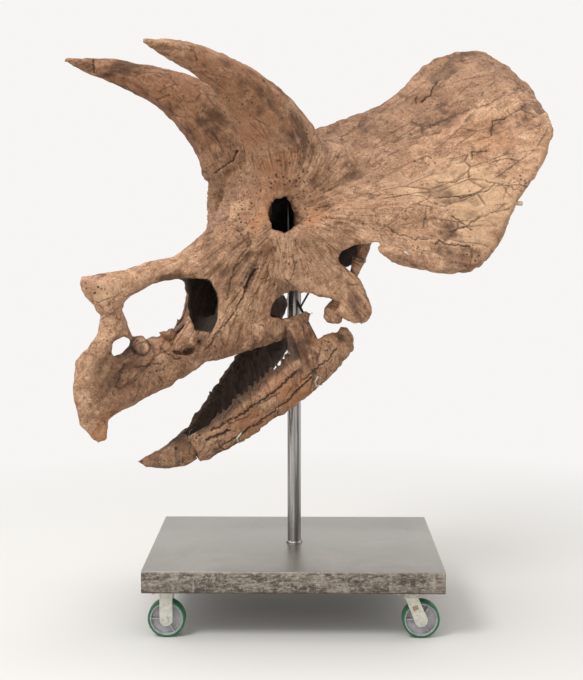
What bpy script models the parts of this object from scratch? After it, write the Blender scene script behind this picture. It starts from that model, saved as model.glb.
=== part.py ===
"""Mounted skull of a horned dinosaur (Triceratops) on a steel stand with casters.

The skull is laid out in its own frame: x forward to the beak, y to its left and z up, in metres, with
the origin midway between the eye sockets.  It is turned and tipped on to the stand at the end.  The
bones are lofted one by one, grown together into one form and then parted with thin cuts.
"""
import math

import bmesh
import bpy
from mathutils import Matrix, Vector

# --- driving dimensions -------------------------------------------------------------------------
GAP = 0.0003                     # air left between pieces that meet
SKULL_YAW = math.radians(30.0)   # the snout turns this far from the stand's -X towards its front
SKULL_PITCH = math.radians(20.0)  # and dips this far below the level
SKULL_AHEAD = 0.15               # the eye sockets lie this far ahead of the pole
SOCKET_HEIGHT = 1.425            # height of the eye sockets' axis above the floor
VOXEL = 0.009                    # grain of the grown-together bone
SKULL_TRIANGLES = 1950
JAW_TRIANGLES = 260
CHIN_TRIANGLES = 170
QUADRATE_TRIANGLES = 110

BASE_SIZE = Vector((1.016, 0.762, 0.0762))
BASE_EDGE = 0.003
CASTER_HEIGHT = 0.165
WHEEL_RADIUS = 0.0635
WHEEL_WIDTH = 0.044
TYRE_THICKNESS = 0.0075
POLE_RADIUS = 0.0242
POLE_TOP = 1.515
POLE_SIDES = 20
RIGID_CASTER_X = -0.429
SWIVEL_CASTER_X = 0.397
SWIVEL_TRAIL = 0.034
CASTER_INSET = 0.065             # wheel plane behind the edge of the base
AXLE_RADIUS = 0.006


# --- small helpers ------------------------------------------------------------------------------
def clear_scene():
    for thing in list(bpy.data.objects):
        bpy.data.objects.remove(thing, do_unlink=True)


def catmull(rows, per_span):
    """Rows of numbers read off a smooth curve through the given rows."""
    rows = [list(map(float, row)) for row in rows]
    first = [2 * a - b for a, b in zip(rows[0], rows[1])]
    last = [2 * a - b for a, b in zip(rows[-1], rows[-2])]
    padded = [first] + rows + [last]
    smooth = []
    for i in range(len(rows) - 1):
        p0, p1, p2, p3 = padded[i:i + 4]
        for step in range(per_span):
            t = step / per_span
            smooth.append([0.5 * (2 * b + (c - a) * t + (2 * a - 5 * b + 4 * c - d) * t ** 2
                                  + (3 * b - a - 3 * c + d) * t ** 3)
                           for a, b, c, d in zip(p0, p1, p2, p3)])
    return smooth + [rows[-1]]


def superellipse(angle, power):
    """Point of a unit superellipse: power 2 is round, more is squarer."""
    c, s = math.cos(angle), math.sin(angle)
    return (math.copysign(abs(c) ** (2 / power), c), math.copysign(abs(s) ** (2 / power), s))


def mesh_object(name, bm):
    bmesh.ops.recalc_face_normals(bm, faces=bm.faces)
    mesh = bpy.data.meshes.new(name)
    bm.to_mesh(mesh)
    bm.free()
    thing = bpy.data.objects.new(name, mesh)
    bpy.context.collection.objects.link(thing)
    return thing


def skin_rings(name, rings):
    """Closed form through rings of equally many points, each end closed by a fan."""
    bm = bmesh.new()
    loops = [[bm.verts.new(p) for p in ring] for ring in rings]
    count = len(loops[0])
    for a, b in zip(loops, loops[1:]):
        for i in range(count):
            j = (i + 1) % count
            bm.faces.new((a[i], a[j], b[j], b[i]))
    for ring in (loops[0], loops[-1]):
        middle = bm.verts.new(sum((v.co for v in ring), Vector()) / count)
        for i in range(count):
            bm.faces.new((middle, ring[i], ring[(i + 1) % count]))
    return mesh_object(name, bm)


def sweep(name, stations, side=(0, 1, 0), per_span=4, sides=20, power=2.2):
    """Bone swept through stations (x, y, z, half depth, half width); width lies along `side`."""
    rows = catmull(stations, per_span)
    side = Vector(side)
    rings = []
    for i, row in enumerate(rows):
        here = Vector(row[:3])
        before = Vector(rows[max(i - 1, 0)][:3])
        after = Vector(rows[min(i + 1, len(rows) - 1)][:3])
        along = (after - before).normalized()
        across = (side - along * side.dot(along)).normalized()
        depth = along.cross(across)
        ring = []
        for k in range(sides):
            c, s = superellipse(2 * math.pi * k / sides, power)
            ring.append(here + depth * (c * row[3]) + across * (s * row[4]))
        rings.append(ring)
    return skin_rings(name, rings)


def block(name, stations, per_span=3, sides=28):
    """Bone of level-to-level sections (x, top, bottom, half width, height of the widest, power)."""
    rings = []
    for x, top, bottom, wide, widest, power in catmull(stations, per_span):
        ring = []
        for k in range(sides):
            c, s = superellipse(2 * math.pi * k / sides, power)
            reach = top - widest if s > 0 else widest - bottom
            ring.append(Vector((x, c * wide, widest + s * reach)))
        rings.append(ring)
    return skin_rings(name, rings)


def plate(name, low, high, outline, along):
    """Prism between two distances along the axis `along` (a unit vector), its outline in x and z."""
    ends = [[Vector((x, 0, z)) + Vector(along) * reach for x, z in outline] for reach in (low, high)]
    return skin_rings(name, ends)


def mirrored(thing, name):
    """Copy of a piece for the skull's other side."""
    bm = bmesh.new()
    bm.from_mesh(thing.data)
    bmesh.ops.scale(bm, vec=(1, -1, 1), verts=bm.verts)
    bmesh.ops.reverse_faces(bm, faces=bm.faces)
    return mesh_object(name, bm)


def settle(thing):
    """Fixes a piece's modifiers into its mesh."""
    graph = bpy.context.evaluated_depsgraph_get()
    mesh = bpy.data.meshes.new_from_object(thing.evaluated_get(graph))
    thing.modifiers.clear()
    thing.data = mesh
    return thing


def gather(name, pieces):
    """One object holding the meshes of several, which are removed."""
    bm = bmesh.new()
    for piece in pieces:
        bm.from_mesh(piece.data)
        bpy.data.objects.remove(piece, do_unlink=True)
    return mesh_object(name, bm)


def grow_together(thing, voxel=VOXEL, smoothing=0):
    remesh = thing.modifiers.new("grown", "REMESH")
    remesh.mode = "VOXEL"
    remesh.voxel_size = voxel
    if smoothing:
        soft = thing.modifiers.new("soft", "SMOOTH")
        soft.factor = 0.5
        soft.iterations = smoothing
    return settle(thing)


def thin_out(thing, triangles):
    thing.data.calc_loop_triangles()
    fewer = thing.modifiers.new("fewer", "DECIMATE")
    fewer.ratio = triangles / len(thing.data.loop_triangles)
    fewer.use_collapse_triangulate = True
    return settle(thing)


def boolean(thing, other, operation, keep=False):
    cut = thing.modifiers.new("cut", "BOOLEAN")
    cut.solver = "EXACT"
    cut.operation = operation
    cut.object = other
    settle(thing)
    if not keep:
        bpy.data.objects.remove(other, do_unlink=True)
    return thing


def swollen(thing, amount):
    """Copy of a piece grown along its normals, to cut its seat in a neighbour."""
    twin = copy_of(thing, "seat")
    grow = twin.modifiers.new("grow", "DISPLACE")
    grow.mid_level = 0.0
    grow.strength = amount
    return settle(twin)


def copy_of(thing, name):
    twin = bpy.data.objects.new(name, thing.data.copy())
    bpy.context.collection.objects.link(twin)
    return twin


def region(planes, offset):
    """Convex block bounded by planes (point, outward normal), each moved outwards by the offset."""
    bm = bmesh.new()
    bmesh.ops.create_cube(bm, size=6.0)
    for point, normal in planes:
        normal = Vector(normal).normalized()
        cut = bmesh.ops.bisect_plane(bm, geom=bm.verts[:] + bm.edges[:] + bm.faces[:],
                                     plane_co=Vector(point) + normal * offset, plane_no=normal,
                                     clear_outer=True)
        edges = [e for e in cut["geom_cut"] if isinstance(e, bmesh.types.BMEdge)]
        bmesh.ops.contextual_create(bm, geom=edges)
    return mesh_object("region", bm)


def largest_shell(thing):
    """Drops crumbs that a cut leaves beside the main piece."""
    bm = bmesh.new()
    bm.from_mesh(thing.data)
    left = set(bm.verts)
    shells = []
    while left:
        seed = left.pop()
        shell, edge = {seed}, [seed]
        while edge:
            vert = edge.pop()
            for link in vert.link_edges:
                other = link.other_vert(vert)
                if other in left:
                    left.remove(other)
                    shell.add(other)
                    edge.append(other)
        shells.append(shell)
    shells.sort(key=len)
    crumbs = [v for shell in shells[:-1] for v in shell]
    bmesh.ops.delete(bm, geom=crumbs, context="VERTS")
    bm.to_mesh(thing.data)
    bm.free()
    return thing


def part_off(body, name, planes):
    """Splits the piece inside the planes off the body and leaves a thin gap between the two."""
    piece = boolean(copy_of(body, name), region(planes, -GAP / 2), "INTERSECT")
    boolean(body, region(planes, GAP / 2), "DIFFERENCE")
    return largest_shell(piece)


# --- the bones, in the skull's frame ------------------------------------------------------------
# Frill: spokes from the crest to the rim: crest x and z, then rim x, y and z.
FRILL_SPOKES = [
    (-0.16, 0.140, -0.150, 0.360, -0.190),
    (-0.28, 0.168, -0.235, 0.425, -0.252),
    (-0.40, 0.172, -0.400, 0.510, -0.357),
    (-0.55, 0.172, -0.546, 0.520, -0.335),
    (-0.70, 0.186, -0.704, 0.508, -0.218),
    (-0.85, 0.248, -0.872, 0.474, -0.141),
    (-0.97, 0.260, -0.998, 0.420, -0.063),
    (-1.05, 0.250, -1.078, 0.310, -0.003),
    (-1.11, 0.228, -1.122, 0.200, 0.082),
    (-1.14, 0.212, -1.145, 0.050, 0.190),
]
FRILL_ARCH = 0.040     # how far a spoke bulges out at the front of the frill
FRILL_RIM = 0.015      # half thickness at the rim
FRILL_ROOT = 0.034     # half thickness at the front


def frill_side():
    """Left half of the frill, a bowed sheet that thickens towards the face."""
    across = 12
    spokes = catmull(FRILL_SPOKES, 3)
    middle = []
    for i, (cx, cz, rx, ry, rz) in enumerate(spokes):
        crest, rim = Vector((cx, -0.012, cz)), Vector((rx, ry, rz))
        out = Vector((0, 1, 1)).normalized() * FRILL_ARCH * (1 - (i / (len(spokes) - 1)) ** 2)
        middle.append([crest.lerp(rim, t / across) + out * math.sin(math.pi * t / across)
                       for t in range(across + 1)])
    bm = bmesh.new()
    layers = {}
    rows, columns = len(middle), across + 1
    for side in (1, -1):
        for i in range(rows):
            for j in range(columns):
                ahead = middle[max(i - 1, 0)][j] - middle[min(i + 1, rows - 1)][j]
                over = middle[i][min(j + 1, across)] - middle[i][max(j - 1, 0)]
                normal = over.cross(ahead)
                normal = normal.normalized() if normal.length > 1e-9 else Vector((0, 0, 1))
                if normal.z < 0:
                    normal.negate()
                root = (1 - i / (rows - 1)) ** 2
                half = FRILL_RIM + (FRILL_ROOT - FRILL_RIM) * root
                half += 0.008 * (1 - j / across)
                layers[side, i, j] = bm.verts.new(middle[i][j] + normal * (side * half))
    for side in (1, -1):
        for i in range(rows - 1):
            for j in range(across):
                bm.faces.new([layers[side, i + a, j + b] for a, b in ((0, 0), (0, 1), (1, 1), (1, 0))])
    border = [(i, 0) for i in range(rows)] + [(rows - 1, j) for j in range(1, columns)]
    border += [(i, across) for i in range(rows - 2, -1, -1)] + [(0, j) for j in range(across - 1, 0, -1)]
    for a, b in zip(border, border[1:] + border[:1]):
        bm.faces.new([layers[1, *a], layers[1, *b], layers[-1, *b], layers[-1, *a]])
    return mesh_object("frill", bm)


HORN = [(-0.10, 0.160, 0.02, 0.070, 0.060), (-0.10, 0.165, 0.10, 0.120, 0.090),
         (-0.085, 0.175, 0.20, 0.130, 0.095),
        (-0.055, 0.190, 0.30, 0.112, 0.085), (0.005, 0.215, 0.41, 0.086, 0.070),
        (0.088, 0.250, 0.503, 0.060, 0.054), (0.160, 0.280, 0.562, 0.048, 0.044),
        (0.250, 0.308, 0.622, 0.036, 0.033), (0.320, 0.324, 0.658, 0.020, 0.018),
        (0.374, 0.335, 0.690, 0.008, 0.008)]

HORN_ROOT = Vector((-0.08, 0, 0.15))
RIGHT_HORN_SWELL = 1.12          # the right horn is a little stouter
RIGHT_HORN_LIFT = math.radians(0.7)

MUZZLE = [(0.60, -0.25, -0.418, 0.055, -0.36, 2.6), (0.50, -0.25, -0.413, 0.085, -0.37, 2.8),
          (0.40, -0.20, -0.400, 0.108, -0.34, 2.8), (0.30, -0.035, -0.397, 0.120, -0.27, 2.2),
          (0.20, 0.004, -0.405, 0.145, -0.22, 2.2), (0.10, 0.062, -0.390, 0.172, -0.15, 2.4),
          (0.00, 0.145, -0.300, 0.200, -0.08, 2.6), (-0.12, 0.170, -0.230, 0.240, -0.06, 3.2),
          (-0.25, 0.180, -0.170, 0.255, -0.04, 3.0), (-0.34, 0.170, -0.100, 0.200, 0.00, 2.2)]

NASAL = [(0.20, 0.010, -0.200, 0.115, -0.12, 2.0), (0.32, -0.025, -0.150, 0.100, -0.09, 2.0),
         (0.42, -0.020, -0.088, 0.082, -0.06, 2.2), (0.52, -0.006, -0.088, 0.066, -0.05, 2.2),
         (0.59, 0.010, -0.110, 0.052, -0.05, 2.2), (0.648, 0.025, -0.120, 0.034, -0.05, 2.2),
         (0.684, 0.036, -0.010, 0.014, 0.012, 2.2)]

BEAK = [(0.618, 0, -0.085, 0.038, 0.034), (0.620, 0, -0.150, 0.042, 0.036),
        (0.655, 0, -0.225, 0.076, 0.044), (0.698, 0, -0.290, 0.110, 0.050),
        (0.746, 0, -0.345, 0.100, 0.046), (0.790, 0, -0.402, 0.068, 0.036),
        (0.802, 0, -0.452, 0.050, 0.026), (0.790, 0, -0.508, 0.024, 0.012)]

PREMAXILLA = [(0.76, -0.30, -0.445, 0.045, -0.39, 2.6), (0.69, -0.24, -0.428, 0.058, -0.38, 2.8),
              (0.60, -0.22, -0.424, 0.068, -0.37, 2.8), (0.52, -0.26, -0.424, 0.080, -0.38, 2.8)]

MAXILLA_RAIL = [(0.40, 0.090, -0.365, 0.020, 0.015), (0.33, 0.100, -0.358, 0.040, 0.026),
                (0.20, 0.114, -0.368, 0.044, 0.026), (0.08, 0.128, -0.378, 0.042, 0.026),
                (0.02, 0.135, -0.376, 0.030, 0.020), (-0.02, 0.138, -0.370, 0.012, 0.010)]

CHEEK = [(0.06, 0.200, -0.120, 0.085, 0.045), (0.00, 0.235, -0.190, 0.085, 0.045),
         (-0.045, 0.275, -0.255, 0.080, 0.036), (-0.075, 0.305, -0.320, 0.080, 0.032),
         (-0.095, 0.325, -0.375, 0.062, 0.030), (-0.115, 0.335, -0.415, 0.030, 0.020)]

ARCH = [(0.08, 0.185, -0.10, 0.070, 0.050), (-0.05, 0.235, -0.12, 0.080, 0.050),
        (-0.16, 0.300, -0.10, 0.075, 0.045), (-0.26, 0.355, -0.13, 0.085, 0.035),
        (-0.36, 0.395, -0.18, 0.070, 0.020), (-0.42, 0.415, -0.21, 0.020, 0.010)]

BROW = [(0.130, 0.165, -0.09, 0.015, 0.020), (0.095, 0.175, -0.04, 0.028, 0.034),
        (0.056, 0.190, 0.030, 0.033, 0.040), (0.020, 0.200, 0.090, 0.036, 0.042),
        (-0.030, 0.205, 0.130, 0.045, 0.045), (-0.090, 0.205, 0.100, 0.045, 0.040)]

QUADRATE = [(-0.262, 0.250, -0.120, 0.032, 0.026), (-0.228, 0.256, -0.195, 0.020, 0.018),
            (-0.152, 0.260, -0.272, 0.019, 0.018), (-0.070, 0.262, -0.342, 0.026, 0.030),
            (-0.026, 0.260, -0.380, 0.030, 0.042), (-0.014, 0.260, -0.397, 0.016, 0.032)]

BRAINCASE = [(-0.20, 0, -0.05, 0.100, 0.110), (-0.30, 0, -0.05, 0.120, 0.120),
             (-0.38, 0, -0.06, 0.090, 0.085), (-0.43, 0, -0.08, 0.055, 0.052),
             (-0.47, 0, -0.09, 0.052, 0.052), (-0.50, 0, -0.10, 0.030, 0.030)]
OCCIPUT_WING = [(-0.33, 0.00, -0.02, 0.050, 0.080), (-0.34, 0.12, -0.06, 0.030, 0.060),
                (-0.33, 0.24, -0.12, 0.024, 0.050), (-0.29, 0.33, -0.16, 0.026, 0.050)]

NARIS = [(0.596, -0.134), (0.572, -0.108), (0.528, -0.090), (0.460, -0.083), (0.388, -0.091),
         (0.318, -0.119), (0.298, -0.162), (0.314, -0.212), (0.352, -0.258), (0.412, -0.284),
         (0.472, -0.280), (0.520, -0.236), (0.566, -0.182)]
LEFT_NARIS = [(0.400, -0.150), (0.300, -0.120), (0.285, -0.165), (0.292, -0.225), (0.315, -0.275),
              (0.365, -0.315), (0.420, -0.335), (0.465, -0.330), (0.500, -0.300), (0.450, -0.230)]
FRONT_HOLE = (0.629, -0.239, 0.045, 0.035)
SOCKET = [(0.016, -0.30, 0.004, 0.066, 0.053), (0.016, -0.20, 0.004, 0.066, 0.053),
          (-0.03, -0.15, -0.01, 0.080, 0.090), (-0.05, 0.00, -0.02, 0.085, 0.105),
          (-0.03, 0.15, -0.01, 0.080, 0.090), (0.016, 0.20, 0.004, 0.066, 0.053),
          (0.016, 0.30, 0.004, 0.066, 0.053)]
NASAL_CAVITY = [(0.345, 0, -0.190, 0.070, 0.076), (0.280, 0, -0.195, 0.078, 0.084),
                (0.200, 0, -0.190, 0.070, 0.080), (0.140, 0, -0.175, 0.040, 0.050)]
CHAMBER = [(0.07, 0, -0.60, 0.11, 0.115), (0.00, 0, -0.40, 0.11, 0.115), (-0.05, 0, -0.20, 0.11, 0.115),
           (-0.08, 0, -0.04, 0.10, 0.11), (-0.09, 0, 0.05, 0.05, 0.07)]
PALATE = [(0.60, 0, -0.43, 0.020, 0.030), (0.45, 0, -0.40, 0.050, 0.045), (0.25, 0, -0.40, 0.100, 0.075),
          (0.05, 0, -0.40, 0.120, 0.105)]
PALATE_BLADE = [(0.150, 0.090, -0.285, 0.050, 0.014), (0.090, 0.072, -0.305, 0.052, 0.014),
                (0.050, 0.063, -0.308, 0.042, 0.012), (0.022, 0.058, -0.303, 0.034, 0.010)]
PTERYGOID = [(-0.270, 0.190, -0.160, 0.040, 0.014), (-0.215, 0.165, -0.215, 0.056, 0.014),
             (-0.150, 0.145, -0.220, 0.044, 0.012)]
CHEEK_NOTCH = [(-0.118, -0.250), (-0.122, -0.190), (-0.160, -0.168), (-0.250, -0.182), (-0.310, -0.250),
               (-0.170, -0.330)]
CHEEK_WINDOW = [(0.030, -0.262), (0.095, -0.268), (0.138, -0.295), (0.120, -0.333), (0.080, -0.352),
                (0.020, -0.350), (-0.060, -0.340), (-0.060, -0.280)]

JAW = [(0.560, 0.030, -0.660, 0.044, 0.026), (0.480, 0.054, -0.660, 0.053, 0.030),
       (0.380, 0.083, -0.634, 0.061, 0.033), (0.280, 0.120, -0.596, 0.064, 0.035),
       (0.180, 0.156, -0.563, 0.072, 0.036), (0.100, 0.180, -0.538, 0.076, 0.036),
       (0.020, 0.196, -0.514, 0.066, 0.034), (-0.050, 0.202, -0.494, 0.046, 0.032),
       (-0.095, 0.203, -0.474, 0.020, 0.022)]
TEETH = 14
TOOTH_ROW = (0.405, 0.135)
CORONOID = [(0.075, 0.195, -0.520, 0.060, 0.024), (0.077, 0.190, -0.430, 0.054, 0.020),
            (0.072, 0.186, -0.380, 0.042, 0.016), (0.068, 0.185, -0.350, 0.014, 0.010)]
HOOK = [(-0.055, 0.203, -0.520, 0.034, 0.030), (-0.078, 0.203, -0.480, 0.024, 0.028),
        (-0.082, 0.203, -0.450, 0.012, 0.020)]
PREDENTARY = [(0.505, 0, -0.655, 0.052, 0.066), (0.560, 0, -0.660, 0.048, 0.052),
              (0.620, 0, -0.655, 0.038, 0.036), (0.680, 0, -0.636, 0.018, 0.018),
              (0.716, 0, -0.620, 0.005, 0.005)]


# Cuts between the bones.
BRAINCASE_ROOF = 0.090           # ridge of the two slopes above the braincase
BRAINCASE_FRONT = -0.20
BRAINCASE_REAR = -0.55
OCCIPUT_HALF = 0.30


def closed_spline(points, per_span):
    """Smooth closed outline through the given points."""
    wrapped = points[-2:] + points + points[:2]
    run = catmull(wrapped, per_span)
    return [tuple(p) for p in run[2 * per_span:-2 * per_span - per_span]]


def both_sides(thing):
    return [thing, mirrored(thing, thing.name)]


def skull_body():
    """The skull without its jaws, grown together and with its openings cut."""
    bones = [block("muzzle", MUZZLE), block("nasal", NASAL), sweep("beak", BEAK, power=2.0),
             block("premaxilla", PREMAXILLA), sweep("braincase", BRAINCASE)]
    lift = Matrix.Translation(HORN_ROOT) @ Matrix.Rotation(-RIGHT_HORN_LIFT, 4, "Y")
    lift = lift @ Matrix.Translation(-HORN_ROOT)
    stout = [(*row[:3], row[3] * RIGHT_HORN_SWELL, row[4] * RIGHT_HORN_SWELL) for row in HORN]
    left_horn = sweep("horn", HORN, power=2.0)
    right_horn = sweep("horn", [(x, -y, z, a, b) for x, y, z, a, b in stout], power=2.0)
    right_horn.data.transform(lift)
    bones += [left_horn, right_horn]
    for left in (frill_side(), sweep("rail", MAXILLA_RAIL),
                 sweep("cheek", CHEEK), sweep("arch", ARCH), sweep("brow", BROW),
                 sweep("wing", OCCIPUT_WING, side=(1, 0, 0))):
        bones += both_sides(left)
    body = grow_together(gather("skull", bones), smoothing=3)
    for cutter in skull_openings():
        boolean(body, cutter, "DIFFERENCE")
    body = gather("skull", [body] + both_sides(sweep("palate_blade", PALATE_BLADE))
                  + both_sides(sweep("pterygoid", PTERYGOID)))
    return thin_out(grow_together(body, smoothing=6), SKULL_TRIANGLES)


def skull_openings():
    """Cutters for the nostrils, the eye sockets and the hollows inside the face."""
    across = (0, 1, 0)
    yield plate("naris", -0.4, 0.4, closed_spline(NARIS, 3), across)
    yield plate("near_naris", -0.045, 0.4, closed_spline(LEFT_NARIS, 3), across)
    x, z, long, tall = FRONT_HOLE
    ring = [(x + long * math.cos(a * math.pi / 8), z + tall * math.sin(a * math.pi / 8))
            for a in range(16)]
    yield plate("front_hole", -0.4, 0.4, ring, across)
    for side in (0.4, -0.4):
        ends = sorted((side, math.copysign(0.08, side)))
        yield plate("window", *ends, closed_spline(CHEEK_WINDOW, 2), across)
        ends = sorted((side, math.copysign(0.21, side)))
        yield plate("notch", *ends, closed_spline(CHEEK_NOTCH, 2), across)
    yield sweep("socket", SOCKET, side=(1, 0, 0), power=2.0)
    for name, stations in (("nose", NASAL_CAVITY), ("chamber", CHAMBER), ("palate", PALATE)):
        yield sweep(name, stations)


def jaw_side():
    """Left half of the lower jaw with its row of teeth along the inner edge."""
    ramus = gather("jaw", [sweep("ramus", JAW), sweep("coronoid", CORONOID), sweep("hook", HOOK)])
    jaw = thin_out(grow_together(ramus, 0.007, 3), JAW_TRIANGLES)
    rows = catmull(JAW, 16)
    first, last = TOOTH_ROW
    for k in range(TEETH):
        x = first + (last - first) * k / (TEETH - 1)
        row = min(rows, key=lambda r: abs(r[0] - x))
        bm = bmesh.new()
        place = Matrix.Translation((x, row[1] - 0.012, row[2] + row[3] - 0.004))
        bmesh.ops.create_cone(bm, cap_ends=True, segments=4, radius1=0.010, radius2=0.0015,
                              depth=0.034, matrix=place)
        boolean(jaw, mesh_object("tooth", bm), "UNION")
    return jaw


def build_skull():
    """All bones of the skull, in its own frame."""
    pieces = []
    body = skull_body()
    place = skull_place()
    pole_hole = round_bar("pole_hole", [(0.0, POLE_RADIUS + GAP), (POLE_TOP + GAP, POLE_RADIUS + GAP)],
                          POLE_SIDES)
    pole_hole.data.transform(place.inverted())
    boolean(body, pole_hole, "DIFFERENCE")
    quadrate = thin_out(grow_together(sweep("quadrate", QUADRATE), 0.007, 2), QUADRATE_TRIANGLES)
    for thing, name in zip(both_sides(quadrate), ("left", "right")):
        boolean(body, swollen(thing, GAP), "DIFFERENCE")
        thing.name = "quadrate_" + name
        pieces.append(thing)
    roof = [((0, 0, BRAINCASE_ROOF), (0, 1, 1)), ((0, 0, BRAINCASE_ROOF), (0, -1, 1)),
            ((BRAINCASE_FRONT, 0, 0), (1, 0, 0)), ((BRAINCASE_REAR, 0, 0), (-1, 0, 0)),
            ((0, OCCIPUT_HALF, 0), (0, 1, 0)), ((0, -OCCIPUT_HALF, 0), (0, -1, 0))]
    pieces.append(part_off(body, "braincase", roof))
    for side, name in ((1, "left"), (-1, "right")):
        this_side = ((0, 0, 0), (0, -side, 0))
        pieces.append(part_off(body, "horn_" + name,
                               [((-0.05, 0, 0.225), (-0.25, 0, -1)), ((-0.34, 0, 0), (-1, 0, 0)), this_side]))
        pieces.append(part_off(body, "frill_" + name,
                               [((-0.27, 0, 0), (1, 0, 0.25)), this_side]))
        pieces.append(part_off(body, "cheek_" + name,
                               [((0, 0, -0.165), (0, 0, 1)), ((0.115, 0, 0), (1, 0, 0)),
                                ((-0.19, 0, 0), (-1, 0, 0)), ((0, side * 0.19, 0), (0, -side, 0))]))
    pieces.append(part_off(body, "nose", [((0.29, 0, 0), (-1, 0, 0)), ((0, 0, -0.125), (0, 0, -1))]))
    pieces.append(part_off(body, "beak_upper", [((0.55, 0, 0), (-1, 0, 0))]))
    for side, name in ((1, "left"), (-1, "right")):
        this_side = ((0, 0, 0), (0, -side, 0))
        pieces.append(part_off(body, "face_" + name, [((0.10, 0, -0.05), (-1, 0, 0.4)), this_side]))
        pieces.append(part_off(body, "brow_" + name, [this_side]))
    bpy.data.objects.remove(body, do_unlink=True)
    jaw = jaw_side()
    jaws = both_sides(jaw)
    chin = grow_together(sweep("beak_lower", PREDENTARY), 0.006, 2)
    thin_out(chin, CHIN_TRIANGLES)
    for thing, side, name in zip(jaws, (1, -1), ("left", "right")):
        boolean(thing, region([((0.52, 0, 0), (1, 0, 0)), ((0, 0, 0), (0, -side, 0))], -GAP / 2), "INTERSECT")
        thing.name = "jaw_" + name
        pieces.append(largest_shell(thing))
    boolean(chin, region([((0.52, 0, 0), (-1, 0, 0))], -GAP / 2), "INTERSECT")
    pieces.append(chin)
    for piece in pieces:
        piece.data.transform(place)
    slots = dict(zip(("braincase", "jaw_left", "jaw_right"), struts(GAP)))
    for piece in pieces:
        if piece.name in slots:
            boolean(piece, slots[piece.name], "DIFFERENCE")
    return pieces


def skull_place():
    """Matrix from the skull's frame to the stand's."""
    forward = Vector((-math.cos(SKULL_YAW), -math.sin(SKULL_YAW), 0))
    left = Vector((math.sin(SKULL_YAW), -math.cos(SKULL_YAW), 0))
    up = Vector((0, 0, 1))
    x = forward * math.cos(SKULL_PITCH) - up * math.sin(SKULL_PITCH)
    z = forward * math.sin(SKULL_PITCH) + up * math.cos(SKULL_PITCH)
    turn = Matrix((x, left, z)).transposed().to_4x4()
    return Matrix.Translation(forward * SKULL_AHEAD + up * SOCKET_HEIGHT) @ turn


# --- the stand, in the floor's frame with the pole at its origin ---------------------------------
BASE_BOTTOM = CASTER_HEIGHT
BASE_TOP = BASE_BOTTOM + BASE_SIZE.z
WHEEL_Y = BASE_SIZE.y / 2 - CASTER_INSET
PLATE_SIZE = (0.105, 0.085, 0.006)
FORK_WIDTH = 0.044               # width of a fork's leg, seen from the side
FORK_SHEET = 0.004
FORK_INSIDE = WHEEL_WIDTH / 2 + 0.004
SWIVEL_DISC = (0.036, 0.014)     # radius and height of the ball race
WHEEL_STEPS = 16


def box(name, size, centre, turn=None):
    bm = bmesh.new()
    place = Matrix.Translation(centre) @ (turn or Matrix.Identity(4)) @ Matrix.Diagonal((*size, 1))
    bmesh.ops.create_cube(bm, size=1.0, matrix=place)
    return mesh_object(name, bm)


def round_bar(name, profile, steps, axis="Z"):
    """Turned piece about an axis: profile rows are (distance along the axis, radius)."""
    rings = []
    for reach, radius in profile:
        ring = []
        for k in range(steps):
            a = 2 * math.pi * k / steps
            c, v = radius * math.cos(a), radius * math.sin(a)
            ring.append(Vector((c, v, reach) if axis == "Z" else (c, reach, v)))
        rings.append(ring)
    return skin_rings(name, rings)


def flat_bar(name, start, end, width, thickness, face, extra=0.0):
    """Straight flat bar between two points; `face` is roughly the normal of its wide side."""
    start, end = Vector(start), Vector(end)
    along = (end - start).normalized()
    out = (Vector(face) - along * along.dot(face)).normalized()
    turn = Matrix((along, out.cross(along), out)).transposed().to_4x4()
    size = ((end - start).length + 2 * extra, width + 2 * extra, thickness + 2 * extra)
    return box(name, size, (start + end) / 2, turn)


def make_base():
    base = box("stand_base", BASE_SIZE, (0, 0, BASE_BOTTOM + BASE_SIZE.z / 2))
    edge = base.modifiers.new("edge", "BEVEL")
    edge.width = BASE_EDGE
    return settle(base)


def make_pole():
    """Pipe with its weld bead on the base and a flat cap."""
    foot = BASE_TOP + GAP
    profile = [(foot, 0.0295), (foot + 0.004, 0.0295), (foot + 0.009, POLE_RADIUS + 0.0005),
               (foot + 0.010, POLE_RADIUS), (POLE_TOP - 0.002, POLE_RADIUS),
               (POLE_TOP, POLE_RADIUS - 0.002)]
    return round_bar("stand_pole", profile, POLE_SIDES)


# Struts: node, height of the joint on the pole, end in the skull's frame and width of the flat.
STRUTS = [("stand_strut_skull", 1.055, (-0.335, 0.020, -0.150), 0.022),
          ("stand_strut_jaw_left", 1.135, (0.015, 0.190, -0.500), 0.016),
          ("stand_strut_jaw_right", 1.175, (0.015, -0.190, -0.500), 0.016)]
STRUT_THICKNESS = 0.006
STRUT_FACE = (1, 0.2, 0.3)
FRILL_ARM_WIDTH = 0.014
FRILL_ARM_FORK = 0.78            # where the arms leave the skull's strut, as a share of its length
FRILL_ARM_END = (-0.690, 0.493, -0.233)


def struts(extra=0.0):
    """Flat bars from the pole to the skull base and to the jaws."""
    to = skull_place()
    bars = []
    for name, height, target, width in STRUTS:
        bar = flat_bar(name, (0, 0, height), to @ Vector(target), width, STRUT_THICKNESS, STRUT_FACE, extra)
        pole = round_bar("pole_seat", [(0.5, POLE_RADIUS + GAP), (POLE_TOP, POLE_RADIUS + GAP)], POLE_SIDES)
        bars.append(boolean(bar, pole, "DIFFERENCE"))
    return bars


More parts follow.
